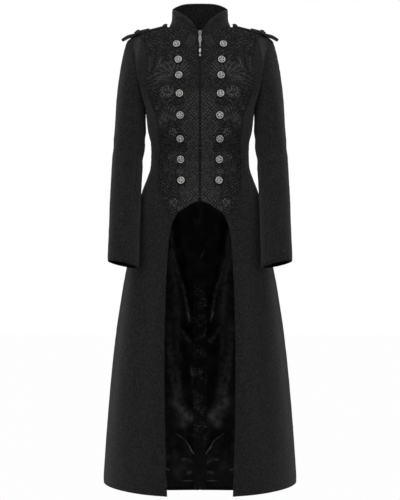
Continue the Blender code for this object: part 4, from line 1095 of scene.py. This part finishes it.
DROP_PROFILE = (
    (0, 1.0), (0.9, 0.6), (1.0, -1.2), (1.8, -2.6), (2.8, -4.4), (3.6, -6.6), (3.9, -9.2), (3.7, -11.8),
    (3.1, -14.4), (2.0, -16.8), (1.2, -18.6), (1.2, -20.2), (2.2, -21.0), (2.9, -22.2), (3.4, -24.0),
    (3.3, -25.8), (2.5, -27.5), (1.4, -28.5), (0, -28.8),
)
DROP_GROOVES = 5  # round the belly of the drop, wound like the pull
RING_RADIUS = 0.0021
RING_WIRE = 0.0006
drop = bmesh.new()
drop.from_mesh(turned("drop_body", [(r / 1000, (z - 2.9) / 1000) for r, z in DROP_PROFILE], 40))
start = bmesh.ops.create_circle(drop, segments=12, radius=RING_WIRE)["verts"]
for axis in "YZ":
    bmesh.ops.rotate(drop, verts=start, cent=(0, 0, 0), matrix=Matrix.Rotation(math.pi / 2, 3, axis))
bmesh.ops.translate(drop, verts=start, vec=(0, 0, RING_RADIUS))
loop_edges = list({edge for vert in start for edge in vert.link_edges})
bmesh.ops.spin(drop, geom=start + loop_edges, cent=(0, 0, 0), axis=(1, 0, 0), angle=2 * math.pi,
               steps=28, use_merge=True)
bmesh.ops.remove_doubles(drop, verts=drop.verts, dist=0.00001)
bmesh.ops.recalc_face_normals(drop, faces=drop.faces)
mesh = to_mesh(drop, "zip_drop_metal")
points = mesh_points(mesh)
across = np.hypot(points[:, 0], points[:, 1])
winding = np.cos(DROP_GROOVES * np.arctan2(points[:, 1], points[:, 0]) + points[:, 2] / 0.0014)
belly = np.clip(1 - np.abs(points[:, 2] + 0.0122) / 0.0085, 0, 1) ** 0.5 * (across > 0.0015)
points[:, :2] *= (1 + 0.11 * winding * belly)[:, None]
set_points(mesh, points)
hollow = np.clip(0.9 - (across - 0.0008) / 0.0022, 0.1, 0.9) + 0.45 * np.clip(-winding, 0, 1) * belly
mesh.transform(Matrix.Translation(Vector(joints["drop_hinge"]["pos_m"])) @ Matrix.Rotation(-DROP_LEAN, 4, "X"))
paint(mesh, "hollow", hollow)
settle(linked("zip_drop_metal", mesh), silver, "zip_drop", "drop")

# Skirt lining: black satin, cut like the skirt and falling in soft folds that sweep to the
# centre back, with its hem caught up a little so that it bags above the hem band.
LINING_THICK = 0.0008
LINING_EASE = 0.0030  # it hangs this much inside the skirt, reached over EASE_REACH from its seams
EASE_REACH = 0.02
LINING_LAP = 0.004  # and its halves lap this much at the centre back
FOLD_LIGHTS = (
    # across and height of both ends of each lit fold and its half width, in millimetres, and its strength; each is
    # a painted highlight in the satin's colour
    (83, -560, 76, -630, 7, 0.34),
    (76, -630, 60, -686, 7.5, 0.44),
    (60, -686, 44, -740, 6.5, 0.48),
    (44, -740, 30, -810, 5, 0.5),
    (52, -702, 47, -722, 2.2, 0.8),
    (43, -740, 37, -766, 2, 0.95),
    (37.2, -786, 30, -820, 2.5, 1.8),
    (60, -834, 30, -874, 7.5, 0.4),
    (90, -870, 85, -960, 9, 0.34),
    (85, -960, 70, -1030, 10, 0.38),
    (69, -1052, 34, -1098, 15, 0.86),
    (48, -1048, 27, -1096, 6, 0.5),
    (60, -1088, 47, -1116, 12, 0.5),
    (70.8, -1142, 42.3, -1166, 1.4, 0.8),
    (42.3, -1166, 31.3, -1183, 1.4, 1.1),
    (31.3, -1183, 17.4, -1208, 1.4, 1.5),
    (56, -1222, 34, -1222, 4, 0.46),
    (34, -1222, 20, -1234, 3.4, 0.34),
    (42, -1264, 20, -1258, 4.2, 0.46),
    (96.6, -1247, 88.2, -1253, 2.2, 1.1),
    (53.4, -1286, 18, -1286, 1.2, 0.8),
    (86, -610, 62, -800, 20, 0.3),
    (88, -830, 72, -1000, 20, 0.24),
    (64, -800, 66, -940, 14, 0.26),
    (66, -940, 58, -1040, 16, 0.34),
    (86, -1140, 64, -1260, 24, 0.05),
)
# Lone painted highlights on one side only, with the same columns.
ODD_LIGHTS = (
    (6, -495, -6, -542, 2.8, 0.26),
    (-20, -520, -10.5, -548, 3, 0.2),
    (13, -612, -1, -640, 2.6, 0.5),
    (-24.5, -946, -20, -1000, 4.2, 0.8),
)

stroke, values, stroke_out = new_group(
    "fold_light",
    ("Across", "Up", "Start across", "Start up", "Run across", "Run up", "Half width", "Strength", "Fade"),
    ("Light",),
)
across, up, start_across, start_up, run_across, run_up, half_width, strength, fade = values
right, over = across - start_across, up - start_up
dot = right * run_across + over * run_up
share = calc("DIVIDE", dot, run_across * run_across + run_up * run_up, clamp=True)
right, over = right - share * run_across, over - share * run_up
far = calc("SQRT", right * right + over * over) / half_width
soft = calc("POWER", 2.718, far * far * -1.0)
ends = abs(share * 2.0 + -1.0)
feed(soft * (1.0 - ends * ends * fade) * strength, stroke_out, "Light")

# Black satin whose colour carries painted highlights along its folds.
satin, tree, shader, bump = new_material("satin", 0.38, 0.06, 0.5, 0.0030)
place = object_place(tree)
right, deep, up = split(place)
drift = (noise(place, 34, 3.0) - 0.5) * 0.011
joined = [row[2:4] for row in FOLD_LIGHTS]  # a light that starts where another ends goes on at full strength
lit = 0.0
for across, table in ((abs(right) + drift, FOLD_LIGHTS), (right + drift, ODD_LIGHTS)):
    for row in table:
        fade = 0.9 if row[4] < 5 and row[:2] not in joined else 0.0
        start_x, start_z, end_x, end_z, width = (number / 1000 for number in row[:5])
        made = add_node("ShaderNodeGroup", across, up, start_x, start_z, end_x - start_x, end_z - start_z, width,
                        row[5], fade, node_tree=stroke)
        lit = most(lit, out(made, "Light"))
# The painted highlights fade out towards the front of the coat and vary in random patches.
lit = lit * span(deep, -0.02, 0.06, 0.0, 0.5) * span(noise(place, 70), 0.34, 0.6, 0.55, 1.15)
lit = calc("ADD", lit, span(noise(place, 30, 3.0, 0.55), 0.42, 0.7, 0.0, 0.05), clamp=True)
dye(shader, lit, (0.0024, 0.0024, 0.0025), (0.2, 0.2, 0.204))
feed(lit * -0.18 + 0.42, shader, "Roughness")
feed(noise(place, 1400, 1.0) * 0.015 + lit, bump, "Height")


def satin_push(points, normals):
    """How far the satin stands in under each lit fold."""
    push = np.zeros(len(points))
    for across, up, far_across, far_up, width, _ in FOLD_LIGHTS:
        middle = ((across + far_across) / 2, (up + far_up) / 2)
        wide = min(max(width * 1.3, 6), 16)
        ridge = ("back", across, up, *middle, far_across, far_up, wide, 0.9 * wide)
        push = np.maximum(push, crease_push(points, normals, ridge))
    return push


def face_in(mesh, chosen, shift):
    """Turns a sheet to face inwards, and carries it on by a shift at its chosen edges."""
    shape = bmesh.new()
    shape.from_mesh(mesh)
    bmesh.ops.reverse_faces(shape, faces=shape.faces)
    rim = [edge for edge in shape.edges if edge.is_boundary and all(chosen(vert.co) for vert in edge.verts)]
    grown = bmesh.ops.extrude_edge_only(shape, edges=rim)["geom"]
    bmesh.ops.translate(shape, verts=[item for item in grown if isinstance(item, bmesh.types.BMVert)], vec=shift)
    shape.to_mesh(mesh)
    shape.free()


for side in SIDES:
    name = f"lining_{side}"
    piece = rounded_shell(name + "_satin", sheet_of(name, inner=True))
    mesh = piece.data
    points, normals = mesh_points(mesh), normals_of(mesh)
    ease = LINING_EASE * (1 - np.exp(-((seam_distance(mesh, 0.06) / EASE_REACH) ** 2)))
    set_points(mesh, points - normals * (ease + satin_push(points, normals))[:, None])
    shift = (-LINING_LAP if side == "left" else LINING_LAP, 0.0004, 0)
    face_in(mesh, lambda place: abs(place.x) < LINING_LAP, shift)
    finish_cloth(piece, name, (satin,), LINING_THICK)

# Vent facing: a strip of the shell cloth with a glinting yarn, down the inside of the vent.
VENT_HEM = 0.0215  # the strip goes on to the hem of the back
VENT_HEM_LEAN = 0.0015  # and leans back this much on the way
glitter, tree, shader, bump = new_material("glinting_strip", 0.7, 0.2, 0.7, 0.0011)
place = object_place(tree)
cloth = add_node("ShaderNodeGroup", place, 0.9, node_tree=nap)
height = split(place)[2]
# Glinting yarn flecks with their glint painted into the colour, fewer towards the hem and higher up the strip.
glint_flecks = span(noise(place, 380, 2.0, 0.7), 0.51, 0.67) * span(noise(place, 34, 1.0), 0.42, 0.62, 0.12, 1.0)
glint_flecks = glint_flecks * span(height, -1.21, -1.14, 0.12, 1.0) * span(height, -0.76, -0.68, 1.0, 0.25)
dye(shader, glint_flecks, (0.0034, 0.0034, 0.0036), (0.15, 0.15, 0.154))
feed(span(glint_flecks, 0.0, 1.0, 0.85, 0.35), shader, "Roughness")
feed(out(cloth, "Height"), bump, "Height")
strip = rounded_shell("vent_facing_cloth", sheet_of("vent_facing", inner=True))
foot = mesh_points(strip.data)[:, 2].min() + 0.002
face_in(strip.data, lambda place: place.z < foot, (0, VENT_HEM_LEAN, -VENT_HEM))
finish_cloth(strip, "vent_facing", (glitter,), WOOL_THICK)
